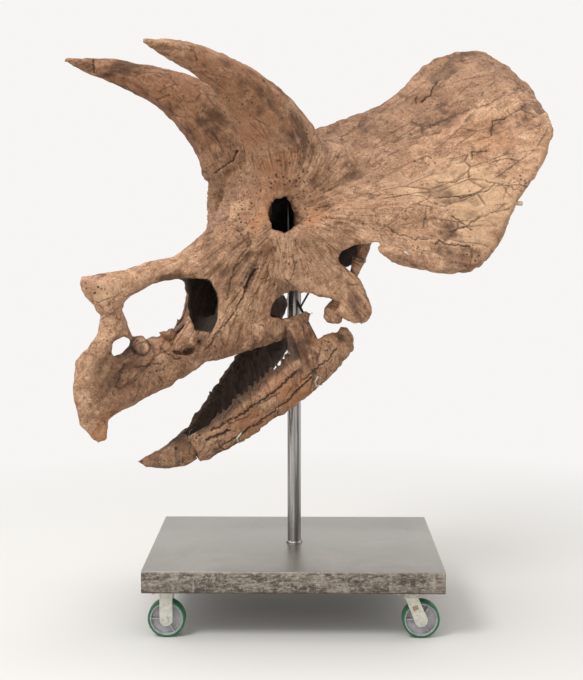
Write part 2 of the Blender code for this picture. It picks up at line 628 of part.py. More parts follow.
def frill_arms(bones, skull_strut):
    """Arms from the skull's strut to the inner face of each half of the frill, near its rim."""
    to = skull_place()
    _, height, target, _ = STRUTS[0]
    start = Vector((0, 0, height)).lerp(to @ Vector(target), FRILL_ARM_FORK)
    arms = []
    for side, name in ((1, "left"), (-1, "right")):
        x, y, z = FRILL_ARM_END
        end = to @ Vector((x, side * y, z))
        arm = flat_bar("stand_arm_" + name, start, end, FRILL_ARM_WIDTH, STRUT_THICKNESS, (0, 0, 1))
        frill = next(bone for bone in bones if bone.name == "frill_" + name)
        for neighbour in (skull_strut, frill):
            boolean(arm, swollen(neighbour, GAP), "DIFFERENCE")
        largest_shell(arm)
        across = (to.to_3x3() @ Vector((0, side, 0))).normalized()
        arms.append(boolean(arm, region([(start + across * GAP, -across)], 0.0), "INTERSECT"))
    return arms


def lever(points, width, low, high):
    """Fork leg: a strip along two points (x, z), its lower end rounded, between two depths y."""
    (x0, z0), (x1, z1) = points
    along = Vector((x1 - x0, 0, z1 - z0)).normalized()
    across = Vector((-along.z, 0, along.x))
    end = Vector((x1, 0, z1))
    if across.x < 0:
        across.negate()
    outline = [Vector((x0 - width / 2, 0, z0))]
    outline += [end + (along * math.sin(a) - across * math.cos(a)) * (width / 2)
                for a in (math.pi * k / 5 for k in range(6))]
    outline.append(Vector((x0 + width / 2, 0, z0)))
    return plate("leg", low, high, [(p.x, p.z) for p in outline], (0, 1, 0))


def fork(name, x, y, top, trail):
    """Two legs, their bridge and the axle with its heads, grown into one pressing."""
    pieces = [box("bridge", (0.052, 2 * FORK_INSIDE + FORK_SHEET, FORK_SHEET), (x, y, top - FORK_SHEET / 2))]
    for side in (1, -1):
        inner, outer = sorted((side * FORK_INSIDE, side * (FORK_INSIDE + FORK_SHEET)))
        leg = lever([(x, top - FORK_SHEET / 2), (x + trail, WHEEL_RADIUS)], FORK_WIDTH, y + inner, y + outer)
        pieces.append(leg)
    reach = FORK_INSIDE + FORK_SHEET + 0.006
    axle = round_bar("axle", [(y - reach, AXLE_RADIUS * 1.6), (y - reach + 0.0065, AXLE_RADIUS * 1.6),
                              (y - reach + 0.0066, AXLE_RADIUS), (y + reach - 0.0066, AXLE_RADIUS),
                              (y + reach - 0.0065, AXLE_RADIUS * 1.6), (y + reach, AXLE_RADIUS * 1.6)],
                     8, "Y")
    axle.data.transform(Matrix.Translation((x + trail, 0, WHEEL_RADIUS)))
    whole = pieces[0]
    for piece in pieces[1:] + [axle]:
        boolean(whole, piece, "UNION")
    whole.name = name
    return whole


def ring_piece(name, profile, steps):
    """Closed ring about the Y axis from a closed profile of (distance along Y, radius to its flats)."""
    bm = bmesh.new()
    corner = 1 / math.cos(math.pi / steps)
    rings = [[bm.verts.new((r * corner * math.cos(a), y, r * corner * math.sin(a))) for y, r in profile]
             for a in (2 * math.pi * (k + 0.5) / steps for k in range(steps))]
    count = len(profile)
    for a, b in zip(rings, rings[1:] + rings[:1]):
        for i in range(count):
            j = (i + 1) % count
            bm.faces.new((a[i], a[j], b[j], b[i]))
    return mesh_object(name, bm)


def wheel(tag, x, y):
    """Cast wheel with three ribs a side, and its bonded tyre, both about the axle."""
    half = WHEEL_WIDTH / 2
    tread = WHEEL_RADIUS - TYRE_THICKNESS
    bore = AXLE_RADIUS + GAP
    core = ring_piece("stand_wheel_" + tag,
                      [(-half - 0.002, bore), (-half - 0.002, 0.017), (-0.006, 0.019), (-0.006, tread - 0.007),
                       (-half + 0.002, tread), (half - 0.002, tread), (0.006, tread - 0.007), (0.006, 0.019),
                       (half + 0.002, 0.017), (half + 0.002, bore)], WHEEL_STEPS)
    for k in range(3):
        turn = Matrix.Rotation(math.radians(60 + 120 * k), 4, "Y")
        middle = turn @ Vector(((0.014 + tread) / 2, 0, 0))
        rib = box("rib", (tread - 0.014 - 0.004, WHEEL_WIDTH - 0.010, 0.004), middle, turn)
        boolean(core, rib, "UNION")
    inner, crown = tread + GAP, WHEEL_RADIUS
    tyre = ring_piece("stand_tyre_" + tag,
                      [(-half + 0.001, inner), (-half, inner + 0.003), (-half + 0.004, crown),
                       (half - 0.004, crown), (half, inner + 0.003), (half - 0.001, inner)], WHEEL_STEPS)
    for piece in (core, tyre):
        piece.location = (x, y, WHEEL_RADIUS)
    return [core, tyre]


def make_casters():
    """Rigid casters on the left, swivelling ones on the right, front and rear."""
    pieces = []
    under = BASE_BOTTOM - GAP
    for side, row in ((-1, "front"), (1, "rear")):
        y = side * WHEEL_Y
        pieces += wheel("rigid_" + row, RIGID_CASTER_X, y)
        pad = box("stand_fork_rigid_" + row, PLATE_SIZE, (RIGID_CASTER_X, y, under - PLATE_SIZE[2] / 2))
        rigid = fork("rigid", RIGID_CASTER_X, y, under - PLATE_SIZE[2] + 0.001, 0)
        pieces.append(boolean(pad, rigid, "UNION"))
        wheel_x = SWIVEL_CASTER_X + SWIVEL_TRAIL
        pieces += wheel("swivel_" + row, wheel_x, y)
        pieces.append(box("stand_plate_" + row, PLATE_SIZE,
                          (SWIVEL_CASTER_X, y, under - PLATE_SIZE[2] / 2)))
        disc_top = under - PLATE_SIZE[2] - GAP
        radius, height = SWIVEL_DISC
        disc = round_bar("stand_fork_swivel_" + row, [(disc_top - height, radius), (disc_top - 0.003, radius),
                                                      (disc_top, radius - 0.003)], 16)
        disc.data.transform(Matrix.Translation((SWIVEL_CASTER_X, y, 0)))
        swivel = fork("swivel", SWIVEL_CASTER_X, y, disc_top - height + 0.001, SWIVEL_TRAIL)
        whole = boolean(disc, swivel, "UNION")
        whole.data.transform(Matrix.Translation((-SWIVEL_CASTER_X, -y, 0)))
        whole.location = (SWIVEL_CASTER_X, y, 0)
        pieces.append(whole)
    return pieces


# --- colours -------------------------------------------------------------------------------------
FINISHES = {
    "bone": ((0.40, 0.27, 0.17, 1), 0.75, 0.0),
    "horn": ((0.30, 0.20, 0.13, 1), 0.70, 0.0),
    "base": ((0.30, 0.29, 0.28, 1), 0.38, 0.9),
    "pole": ((0.34, 0.34, 0.34, 1), 0.35, 0.95),
    "zinc": ((0.62, 0.62, 0.58, 1), 0.40, 0.6),
    "core": ((0.60, 0.60, 0.60, 1), 0.50, 0.3),
    "tyre": ((0.02, 0.14, 0.05, 1), 0.45, 0.0),
}


def finish_of(name):
    if not name.startswith("stand_"):
        return "horn" if name.startswith("horn") else "bone"
    for word, finish in (("tyre", "tyre"), ("wheel", "core"), ("base", "base"), ("pole", "pole"),
                         ("strut", "pole"), ("arm", "pole")):
        if word in name:
            return finish
    return "zinc"


def paint(thing):
    """Own material for each piece."""
    colour, roughness, metallic = FINISHES[finish_of(thing.name)]
    material = bpy.data.materials.new(thing.name)
    material.use_nodes = True
    shader = material.node_tree.nodes["Principled BSDF"]
    shader.inputs["Base Color"].default_value = colour
    shader.inputs["Roughness"].default_value = roughness
    shader.inputs["Metallic"].default_value = metallic
    thing.data.materials.clear()
    thing.data.materials.append(material)
    thing.data.shade_smooth()
    thing.data.set_sharp_from_angle(angle=math.radians(40))


def world_corners(pieces):
    bpy.context.view_layer.update()
    points = [piece.matrix_world @ v.co for piece in pieces for v in piece.data.vertices]
    low = Vector([min(p[i] for p in points) for i in range(3)])
    high = Vector([max(p[i] for p in points) for i in range(3)])
    return low, high


def main():
    clear_scene()
    bones = build_skull()
    place = skull_place()
    bars = struts()
    pieces = bones + [make_base(), make_pole()] + bars + frill_arms(bones, bars[0]) + make_casters()
    low, high = world_corners(pieces)
    shift = Vector((-(low.x + high.x) / 2, -(low.y + high.y) / 2, 0))
    for piece in pieces:
        piece.location += shift
        paint(piece)


main()
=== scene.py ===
"""Looks of a mounted horned dinosaur skull: weathered bone, a steel stand and its casters."""
import itertools
import math
import random

import bmesh
import bpy
import numpy as np
from mathutils import Euler, Matrix, Vector
from mathutils.bvhtree import BVHTree
from mathutils.kdtree import KDTree


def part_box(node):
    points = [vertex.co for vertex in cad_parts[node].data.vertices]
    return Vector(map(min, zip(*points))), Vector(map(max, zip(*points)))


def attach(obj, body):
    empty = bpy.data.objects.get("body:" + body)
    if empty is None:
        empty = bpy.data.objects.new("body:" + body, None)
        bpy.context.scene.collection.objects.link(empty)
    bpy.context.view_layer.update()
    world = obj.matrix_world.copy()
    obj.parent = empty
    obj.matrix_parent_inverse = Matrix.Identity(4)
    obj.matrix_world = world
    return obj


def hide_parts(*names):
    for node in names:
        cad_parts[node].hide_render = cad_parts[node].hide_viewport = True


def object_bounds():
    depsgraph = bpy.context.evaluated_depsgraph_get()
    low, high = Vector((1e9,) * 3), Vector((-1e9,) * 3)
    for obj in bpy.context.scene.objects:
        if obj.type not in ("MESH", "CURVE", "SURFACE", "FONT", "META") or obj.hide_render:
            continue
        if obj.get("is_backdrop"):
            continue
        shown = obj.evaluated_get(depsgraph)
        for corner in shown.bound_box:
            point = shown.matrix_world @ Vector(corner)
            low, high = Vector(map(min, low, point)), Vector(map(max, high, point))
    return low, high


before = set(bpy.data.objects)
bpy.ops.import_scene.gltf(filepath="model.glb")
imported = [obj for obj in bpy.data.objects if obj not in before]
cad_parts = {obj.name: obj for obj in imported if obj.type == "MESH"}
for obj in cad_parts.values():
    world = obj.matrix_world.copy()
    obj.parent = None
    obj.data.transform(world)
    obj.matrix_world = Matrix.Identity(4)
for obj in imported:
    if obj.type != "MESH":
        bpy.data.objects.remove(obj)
cad_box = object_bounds()

# --- places and measures, in metres ----------------------------------------------------------------
BASE_LOW, BASE_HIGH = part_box("stand_base")
MIDDLE = Vector(((BASE_LOW.x + BASE_HIGH.x) / 2, (BASE_LOW.y + BASE_HIGH.y) / 2, 0))
SKULL_YAW = math.radians(30.0)
SKULL_PITCH = math.radians(20.0)
SKULL_AHEAD = 0.15
SOCKET_HEIGHT = 1.425


def skull_frame():
    """Matrix from the skull's own frame (x to the beak, y to its left, z up) to the world."""
    forward = Vector((-math.cos(SKULL_YAW), -math.sin(SKULL_YAW), 0))
    left = Vector((math.sin(SKULL_YAW), -math.cos(SKULL_YAW), 0))
    up = Vector((0, 0, 1))
    x = forward * math.cos(SKULL_PITCH) - up * math.sin(SKULL_PITCH)
    z = forward * math.sin(SKULL_PITCH) + up * math.cos(SKULL_PITCH)
    turn = Matrix((x, left, z)).transposed().to_4x4()
    return Matrix.Translation(MIDDLE + forward * SKULL_AHEAD + up * SOCKET_HEIGHT) @ turn


SKULL = skull_frame()
TO_SKULL = np.array(SKULL.inverted())
CLAMP_LOW, CLAMP_HIGH = (np.array(corner) for corner in cad_box)
MERGE = 0.00001                  # loose corners closer than this are one
SKULL_GRID, JAW_GRID = 0.0066, 0.0042   # how coarse the skins start


# --- number fields on points -----------------------------------------------------------------------
def lumps(points, size, seed=0):
    """Smooth random field, -1 to 1, whose bumps are about `size` across."""
    p = points / size + 31.7 * seed
    cell = np.floor(p).astype(np.int64)
    f = p - cell
    f = f * f * f * (f * (f * 6 - 15) + 10)
    total = np.zeros(len(p))
    for corner in itertools.product((0, 1), repeat=3):
        c = cell + np.array(corner)
        h = (c[:, 0] * 374761393 + c[:, 1] * 668265263 + c[:, 2] * 1274126177 + seed * 97) & 0xFFFFFFFF
        h = ((h ^ (h >> 13)) * 1103515245) & 0xFFFFFFFF
        h = ((h ^ (h >> 16)) * 2246822519) & 0xFFFFFFFF
        value = ((h >> 9) & 0xFFFF) / 32767.5 - 1
        weight = np.prod(np.where(np.array(corner) == 1, f, 1 - f), axis=1)
        total += weight * value
    return total


def layered(points, size, octaves, seed=0, fall=0.5):
    """Sum of ever finer lumps."""
    return sum(fall ** k * lumps(points, size / 2 ** k, seed + k) for k in range(octaves))


def ease(value, low, high):
    """0 below low, 1 above high, and a smooth rise between."""
    t = np.clip((value - low) / (high - low), 0, 1)
    return t * t * (3 - 2 * t)


def near(points, centre, radius):
    """1 at the centre, fading to 0 at the radius."""
    away = np.linalg.norm(points - np.array(centre), axis=1)
    return 1 - ease(away, 0.25 * radius, radius)


# --- meshes ----------------------------------------------------------------------------------------
def settle(thing):
    """Fixes a piece's modifiers into its mesh."""
    graph = bpy.context.evaluated_depsgraph_get()
    mesh = bpy.data.meshes.new_from_object(thing.evaluated_get(graph))
    thing.modifiers.clear()
    thing.data = mesh
    return thing


def add_object(name, mesh):
    thing = bpy.data.objects.new(name, mesh)
    bpy.context.scene.collection.objects.link(thing)
    return thing


def from_bmesh(name, bm):
    mesh = bpy.data.meshes.new(name)
    bm.to_mesh(mesh)
    bm.free()
    return add_object(name, mesh)


def positions(mesh):
    co = np.empty(len(mesh.vertices) * 3)
    mesh.vertices.foreach_get("co", co)
    return co.reshape(-1, 3)


def directions(mesh):
    normal = np.empty(len(mesh.vertices) * 3)
    mesh.vertices.foreach_get("normal", normal)
    return normal.reshape(-1, 3)


def put_positions(mesh, co):
    mesh.vertices.foreach_set("co", co.astype(np.float32).ravel())
    mesh.update()


def relax(mesh, rounds):
    """Takes the facets out of a mesh without shrinking it: each round pulls in, then pushes back."""
    co = positions(mesh)
    edges = np.empty(len(mesh.edges) * 2, np.int64)
    mesh.edges.foreach_get("vertices", edges)
    a, b = edges.reshape(-1, 2).T
    count = len(co)
    links = np.bincount(a, minlength=count) + np.bincount(b, minlength=count)
    for step in range(2 * rounds):
        share = 0.5 if step % 2 == 0 else -0.535
        pull = np.empty_like(co)
        for k in range(3):
            met = np.bincount(a, co[b, k], count) + np.bincount(b, co[a, k], count)
            pull[:, k] = met / links - co[:, k]
        co += share * pull
    put_positions(mesh, co)


def grown(name, nodes, voxel, rounds, extras=()):
    """One smooth skin over copies of CAD nodes and over extra lumps, (start, end, radius, radius)."""
    bm = bmesh.new()
    for node in nodes:
        bm.from_mesh(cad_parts[node].data)
    for start, end, low_radius, high_radius in extras:
        start, end = SKULL @ Vector(start), SKULL @ Vector(end)
        turn = (end - start).to_track_quat("Z", "Y").to_matrix().to_4x4()
        bmesh.ops.create_cone(bm, cap_ends=True, segments=12, radius1=low_radius, radius2=high_radius,
                              depth=(end - start).length, matrix=Matrix.Translation((start + end) / 2) @ turn)
    bmesh.ops.remove_doubles(bm, verts=bm.verts, dist=MERGE)
    thing = from_bmesh(name, bm)
    remesh = thing.modifiers.new("grown", "REMESH")
    remesh.mode = "VOXEL"
    remesh.voxel_size = voxel
    settle(thing)
    relax(thing.data, rounds)
    finer = thing.modifiers.new("finer", "SUBSURF")
    finer.levels = finer.render_levels = 1
    return settle(thing)


def in_skull(co):
    return co @ TO_SKULL[:3, :3].T + TO_SKULL[:3, 3]


def put_field(mesh, name, values):
    field = mesh.attributes.new(name, "FLOAT", "POINT")
    field.data.foreach_set("value", np.clip(values, 0, 1).astype(np.float32))


# --- cracks ----------------------------------------------------------------------------------------
CRACK_STEP = 0.003


def surface_tree(mesh):
    corners = [tuple(v) for v in positions(mesh)]
    return BVHTree.FromPolygons(corners, [tuple(p.vertices) for p in mesh.polygons])


def traced(tree, route, rng, wobble=0.0022):
    """Points of a crack on the skin, along a route of points in the skull's frame."""
    points = []
    drift = Vector()
    for start, end in zip(route, route[1:]):
        start, end = SKULL @ Vector(start), SKULL @ Vector(end)
        steps = max(2, int(2 * (end - start).length / CRACK_STEP))
        for k in range(steps):
            drift = 0.82 * drift + Vector([rng.uniform(-wobble, wobble) for _ in range(3)])
            found = tree.find_nearest(start.lerp(end, k / steps) + drift)
            if found[0] is not None:
                points.append(found[0])
    return points


def wandering(tree, start, heading, length, rng, turn=0.35):
    """Points of a crack that creeps over the skin from a start in a rough direction."""
    here, ahead = start.copy(), heading.normalized()
    points = [here.copy()]
    for _ in range(int(length / CRACK_STEP)):
        found = tree.find_nearest(here + ahead * CRACK_STEP)
        if found[0] is None:
            break
        here, normal = found[0], found[1]
        ahead = (ahead - normal * ahead.dot(normal)).normalized()
        ahead.rotate(Matrix.Rotation(rng.gauss(0, turn) * 0.35, 3, normal))
        points.append(here.copy())
    return points


# --- what age has done to the bone -------------------------------------------------------------------
SOCKET = (0.012, 0.004)          # middle of the eye socket, x and z
HORN_BEND = (0.42, 0.12, 0.52)   # the horns bend about this x and z, at about this radius
THIN_CRACK = 0.0021              # half width of the finest crack that still shows as one line


def in_metres(cracks):
    """Cracks whose points, half widths and depths are given in millimetres."""
    return [([tuple(v / 1000 for v in p) for p in route], half / 1000, depth / 1000)
            for route, half, depth in cracks]


# Cracks: routes of (x, y, z) in the skull's frame, half width and depth, in millimetres.  Wide and shallow
# ones are folds.
CRACKS = in_metres([
    ([(-519, 164, 78), (-626, 180, 82), (-730, 207, 94), (-886, 267, 91), (-1110, 221, 88)], 8, 2.4),
    ([(-626, 180, 82), (-730, 207, 94)], 1.7, 3),
    ([(-800, 232, 93), (-886, 267, 91)], 1.9, 3),
    ([(-525, 167, 76), (-608, 196, 65), (-678, 229, 62)], 7, 2.2),
    ([(-819, 82, 210), (-764, 102, 177), (-726, 97, 163)], 3, 6),
    ([(-728, 71, 179), (-706, 82, 167)], 2.6, 4),
    ([(-890, 331, 38), (-844, 315, 43), (-811, 334, 19), (-783, 348, -1), (-744, 333, -2)], 2, 3),
    ([(-737, 372, -38), (-698, 344, -27), (-680, 359, -47)], 2.1, 3.5),
    ([(-723, 406, -74), (-767, 423, -79), (-802, 442, -92)], 1.9, 3),
    ([(-526, 335, -76), (-579, 361, -95), (-637, 386, -94)], 1.8, 2.5),
    ([(-496, 372, -120), (-536, 384, -131), (-565, 404, -145), (-590, 416, -147), (-640, 441, -151),
     (-676, 450, -142)], 1.9, 3),
    ([(-663, 425, -123), (-691, 459, -144), (-710, 488, -166), (-735, 515, -186)], 1.9, 3),
    ([(-690, 472, -158), (-687, 504, -193)], 1.8, 2.5),
    ([(-279, 303, -27), (-341, 322, -57), (-406, 330, -77), (-445, 350, -98), (-461, 375, -125),
     (-500, 403, -154)], 1.8, 2.5),
    ([(-437, 372, -124), (-401, 407, -150), (-369, 423, -181)], 1.8, 2.5),
    ([(-222, 394, -141), (-243, 388, -128), (-271, 396, -131), (-313, 395, -108)], 1.8, 2.5),
    ([(-243, 388, -128), (-272, 415, -159), (-303, 435, -188), (-359, 449, -216)], 1.9, 3),
    ([(-487, 424, -182), (-504, 446, -209), (-516, 475, -249)], 1.9, 3),
    ([(-567, 468, -222), (-526, 461, -228), (-449, 453, -225)], 2, 3),
    ([(-564, 463, -217), (-616, 490, -222), (-666, 516, -222)], 1.8, 2.5),
    ([(-371, 463, -238), (-389, 459, -234), (-425, 483, -265), (-476, 498, -284)], 2.2, 3.5),
    ([(-479, 507, -295), (-441, 531, -334)], 1.8, 2.5),
    ([(-45, -76, 216), (-23, -82, 195), (15, -101, 179), (41, -128, 170)], 2.6, 4.5),
    ([(139, 159, -141), (162, 152, -157), (198, 141, -190)], 4.2, 10),
    ([(198, 141, -190), (217, 139, -219), (240, 134, -243), (271, 124, -267), (323, 114, -293),
     (392, 108, -338)], 2, 4),
    ([(90, 241, -196), (68, 236, -233)], 2.2, 4),
    ([(113, 183, -86), (214, 137, -191), (301, 119, -258)], 1.5, 2),
    ([(95, 177, -136), (139, 161, -191), (218, 135, -270)], 1.5, 2.2),
    ([(100, 190, -110), (150, 150, -175)], 1.5, 2.2),
    ([(120, 170, -115), (185, 140, -200)], 1.4, 2),
    ([(85, 200, -130), (128, 160, -200)], 1.4, 2.2),
    ([(60, 230, -140), (100, 190, -210)], 1.4, 2),
    ([(69, 246, -119), (113, 162, -230)], 1.5, 2.2),
    ([(127, 148, -46), (209, 131, -122), (268, 123, -206)], 1.9, 3),
    ([(45, 261, -152), (77, 216, -224)], 2, 3),
    ([(22, 244, -69), (10, 265, -137)], 1.8, 2.5),
    ([(68, 224, -52), (79, 239, -104)], 1.8, 2.5),
    ([(606, 10, -257), (672, 54, -302), (731, 51, -363)], 1.8, 2.5),
    ([(586, 69, -338), (620, 60, -397)], 1.8, 2),
    ([(520, 58, -275), (518, 61, -289), (507, 78, -310), (491, 82, -334), (470, 88, -332)], 2.1, 3.5),
    ([(628, 60, -306), (599, 65, -315), (563, 71, -323), (536, 74, -330)], 2, 3),
    ([(259, -305, 668), (280, -288, 641), (282, -296, 618)], 2.6, 3.5),
    ([(205, 318, 610), (190, 290, 570)], 2.4, 3),
])
JAW_CRACKS = in_metres([
    ([(455, 86, -609), (356, 126, -592), (253, 167, -558), (144, 204, -515)], 4, 5),
    ([(442, 93, -674), (337, 126, -650), (209, 178, -602), (96, 215, -550)], 3.4, 4),
    ([(485, 81, -633), (437, 98, -630), (400, 108, -628)], 5, 8),
    ([(141, 204, -554), (38, 226, -521), (-23, 232, -495)], 2.4, 3.5),
    ([(352, 122, -651), (293, 141, -641)], 3, 4),
    ([(400, 110, -610), (320, 140, -600)], 2.2, 3),
    ([(300, 148, -580), (210, 180, -560)], 2.2, 3),
    ([(240, 165, -610), (150, 198, -580)], 2.2, 3),
])
# Patches of another tint: middle (x, y, z), radius and how pale (above 0) or rusty (below 0).
PATCHES = [((0.1, 0.22, 0.47), 0.36, -0.55), ((0.1, -0.25, 0.47), 0.36, -0.5),
           ((0.02, 0.2, 0.16), 0.17, -0.4), ((0.18, 0.19, -0.57), 0.11, -0.8),
           ((0.33, 0.14, -0.63), 0.09, -0.6), ((0.0, 0.22, -0.42), 0.09, -0.7),
           ((0.45, 0.1, -0.66), 0.07, 0.4), ((0.765, 0.03, -0.47), 0.09, -0.9),
           ((0.74, 0.03, -0.28), 0.06, 0.6), ((-0.58, 0.45, -0.22), 0.2, 0.8),
           ((-0.56, 0.37, -0.09), 0.16, 0.5), ((-0.78, 0.34, 0.01), 0.13, -0.4),
           ((-0.07, 0.26, -0.02), 0.07, -0.8), ((0.1, 0.17, 0.0), 0.06, -0.8),
           ((0.64, 0.04, -0.04), 0.05, 0.7), ((-0.45, 0.52, -0.33), 0.08, -0.5),
           ((-0.4, 0.33, -0.06), 0.12, 0.4)]
# Places where the surface is worn down to the spongy bone: middle (x, 0.6 y, z) and radius.
POROUS = [((-0.02, 0.14, 0.1), 0.18), ((0.14, 0.1, 0.03), 0.13), ((-0.44, 0.315, -0.33), 0.1),
          ((0.75, 0.02, -0.49), 0.13), ((0.66, 0.02, -0.03), 0.07), ((0.1, 0.09, 0.1), 0.15),
          ((0.575, 0.03, -0.248), 0.035), ((-0.07, 0.16, -0.02), 0.09)]


def grain_space(q, horn):
    """Coordinates that run slowly along the bone's grain and fast across it."""
    x, y, z = q.T
    away = np.hypot(x - SOCKET[0], z - SOCKET[1])
    turn = np.arctan2(z - SOCKET[1], x - SOCKET[0])
    face = np.stack((away / 7, turn * 0.40, y * 0.5), 1)
    bend_x, bend_z, radius = HORN_BEND
    along = np.arctan2(z - bend_z, bend_x - x) * radius
    shaft = np.stack((along / 7, np.hypot(x - bend_x, z - bend_z), y * 0.9), 1)
    return np.where(horn[:, None] > 0.5, shaft, face)


def crack_marks(cracks, co):
    """How deep in a crack each corner is (0 to 1) and how far it sinks there."""
    split, sink = np.zeros(len(co)), np.zeros(len(co))
    full = 0.0035                # a crack at least this deep, for its width, is dark to the bottom
    marks = [(p, half, depth) for trail, half, depth in cracks for p in trail]
    if not marks:
        return split, sink
    kd = KDTree(len(marks))
    for k, (p, _, _) in enumerate(marks):
        kd.insert(p, k)
    kd.balance()
    for k, corner in enumerate(co):
        _, which, gap = kd.find(corner)
        _, half, depth = marks[which]
        # split is painted shade in the crack, stronger for deeper and narrower cracks.
        if gap < 3 * half:
            fade = math.exp(-(gap / half) ** 2)
            split[k] = fade * min(1.0, depth / full) * min(1.0, 0.0042 / half)
            sink[k] = fade * depth
    return split, sink


def stray_cracks(tree, co, q, count, rng):
    """Cracks that start anywhere and mostly follow the grain."""
    for _ in range(count):
        k = rng.randrange(len(co))
        out = Vector(q[k]) - Vector((SOCKET[0], q[k][1], SOCKET[1]))
        heading = SKULL.to_3x3() @ (out.normalized() + Vector([rng.uniform(-0.7, 0.7) for _ in range(3)]))
        length = rng.uniform(0.02, 0.13)
        half = rng.uniform(0.0016, 0.0024)
        trail = wandering(tree, Vector(co[k]), heading, length, rng)
        yield trail, half, rng.uniform(0.0008, 0.0022)
        if rng.random() < 0.7:
            fork = trail[len(trail) // 2]
            swing = Vector([rng.uniform(-1, 1) for _ in range(3)])
            yield wandering(tree, fork, heading + 1.5 * swing, length * 0.5, rng), half * 0.9, 0.0011


def age(thing, seed, crack_count, routes=(), bumps=1.0, horned=False):
    """Carves undulations, grain and cracks into a skin and stores where they are."""
    mesh = thing.data
    rng = random.Random(seed)
    co, normal = positions(mesh), directions(mesh)
    q = in_skull(co)
    horn = ease(q[:, 2] - 0.25 * q[:, 0], 0.20, 0.26) * (q[:, 0] > -0.33) if horned else np.zeros(len(q))
    flow = grain_space(q, horn)
    grain = layered(flow, 0.018, 3, seed + 11)
    swell = layered(q, 0.15, 3, seed + 1)
    pits = layered(q, 0.026, 2, seed + 5)
    knobs = np.maximum(0, layered(q, 0.055, 2, seed + 7) - 0.25)
    knobby = near(q * (1, 0.3, 1), (0.10, -0.02, 0.09), 0.17) if horned else 0
    push = bumps * (0.0035 * swell + 0.0018 * pits + 0.0026 * grain
                    + (0.0060 + 0.0220 * knobby) * knobs * (1 - 0.7 * horn))
    tree = surface_tree(mesh)
    cracks = [(traced(tree, route, rng), max(half, THIN_CRACK), depth) for route, half, depth in routes]
    cracks += list(stray_cracks(tree, co, q, crack_count, rng))
    split, sink = crack_marks(cracks, co)
    push = push - sink
    moved = np.clip(co + normal * push[:, None], CLAMP_LOW, CLAMP_HIGH)
    put_positions(mesh, moved)
    put_field(mesh, "split", split)
    # Where the skin is sunk, in dips and cracks, this marks it for painted shade.
    put_field(mesh, "hollow", 0.5 - push / 0.012)
    porous = np.zeros(len(q))
    for middle, radius in POROUS:
        porous = np.maximum(porous, near(q * (1, 0.6, 1), middle, radius))
    put_field(mesh, "porous", porous)
    warm = np.zeros(len(q))
    for middle, radius, strength in PATCHES:
        ragged = radius * (1 + 0.5 * lumps(q, 0.05, 5))
        away = np.linalg.norm(q - np.array(middle), axis=1)
        warm += strength * (1 - ease(away, 0.3 * ragged, ragged))
    put_field(mesh, "patch", 0.5 + 0.5 * warm)
    lay = mesh.attributes.new("flow", "FLOAT_VECTOR", "POINT")
    lay.data.foreach_set("vector", flow.astype(np.float32).ravel())
    return q, normal


# --- materials ---------------------------------------------------------------------------------------
class Finish:
    """Small helper that grows a material's node tree."""

    def __init__(self, name):
        self.material = bpy.data.materials.new(name)
        self.material.use_nodes = True
        self.tree = self.material.node_tree
        self.shader = self.tree.nodes["Principled BSDF"]
        self.place = self.node("ShaderNodeTexCoord").outputs["Object"]

    def node(self, kind, **settings):
        made = self.tree.nodes.new(kind)
        for key, value in settings.items():
            setattr(made, key, value)
        return made

    def link(self, source, target):
        self.tree.links.new(source, target)

    def stretched(self, scale, turn=(0, 0, 0)):
        mapping = self.node("ShaderNodeMapping")
        mapping.inputs["Scale"].default_value = scale
        mapping.inputs["Rotation"].default_value = turn
        self.link(self.place, mapping.inputs["Vector"])
        return mapping.outputs["Vector"]

    def noise(self, scale, detail=4.0, rough=0.6, distortion=0.0, at=None):
        made = self.node("ShaderNodeTexNoise")
        made.inputs["Scale"].default_value = scale
        made.inputs["Detail"].default_value = detail
        made.inputs["Roughness"].default_value = rough
        made.inputs["Distortion"].default_value = distortion
        self.link(at or self.place, made.inputs["Vector"])
        return made.outputs["Fac"]

    def cells(self, feature, scale, at=None):
        """Distance to the middles (F1) or the borders (DISTANCE_TO_EDGE) of random cells."""
        made = self.node("ShaderNodeTexVoronoi", feature=feature)
        made.inputs["Scale"].default_value = scale
        self.link(at or self.place, made.inputs["Vector"])
        return made.outputs["Distance"]

    def field(self, name, output="Fac"):
        return self.node("ShaderNodeAttribute", attribute_name=name).outputs[output]

    def height(self):
        """Height above the floor."""
        apart = self.node("ShaderNodeSeparateXYZ")
        self.link(self.place, apart.inputs["Vector"])
        return apart.outputs["Z"]

    def ramp(self, source, *stops):
        made = self.node("ShaderNodeValToRGB")
        elements = made.color_ramp.elements
        while len(elements) < len(stops):
            elements.new(0.5)
        for element, (at, value) in zip(elements, stops):
            element.position = at
            element.color = value if isinstance(value, tuple) else (value, value, value, 1)
        self.link(source, made.inputs["Fac"])
        return made.outputs["Color"]

    def mix(self, factor, a, b, way="MIX"):
        made = self.node("ShaderNodeMix", data_type="RGBA", blend_type=way)
        for name, value in (("Factor", factor), ("A", a), ("B", b)):
            socket = next(s for s in made.inputs if s.name == name and s.enabled)
            if isinstance(value, (tuple, float, int)):
                socket.default_value = value
            else:
                self.link(value, socket)
        return next(s for s in made.outputs if s.enabled)

    def maths(self, way, a, b=0.0):
        made = self.node("ShaderNodeMath", operation=way)
        for socket, value in zip(made.inputs, (a, b)):
            if isinstance(value, (float, int)):
                socket.default_value = value
            else:
                self.link(value, socket)
        return made.outputs[0]

    def bump(self, *layers):
        """Relief from (height, strength, distance) layers, the coarsest first."""
        last = None
        for height, strength, distance in layers:
            made = self.node("ShaderNodeBump")
            made.inputs["Strength"].default_value = strength
            made.inputs["Distance"].default_value = distance
            self.link(height, made.inputs["Height"])
            if last:
                self.link(last, made.inputs["Normal"])
            last = made.outputs["Normal"]
        self.link(last, self.shader.inputs["Normal"])

    def colour(self, source):
        self.link(source, self.shader.inputs["Base Color"])

    def rough(self, source):
        self.link(source, self.shader.inputs["Roughness"])


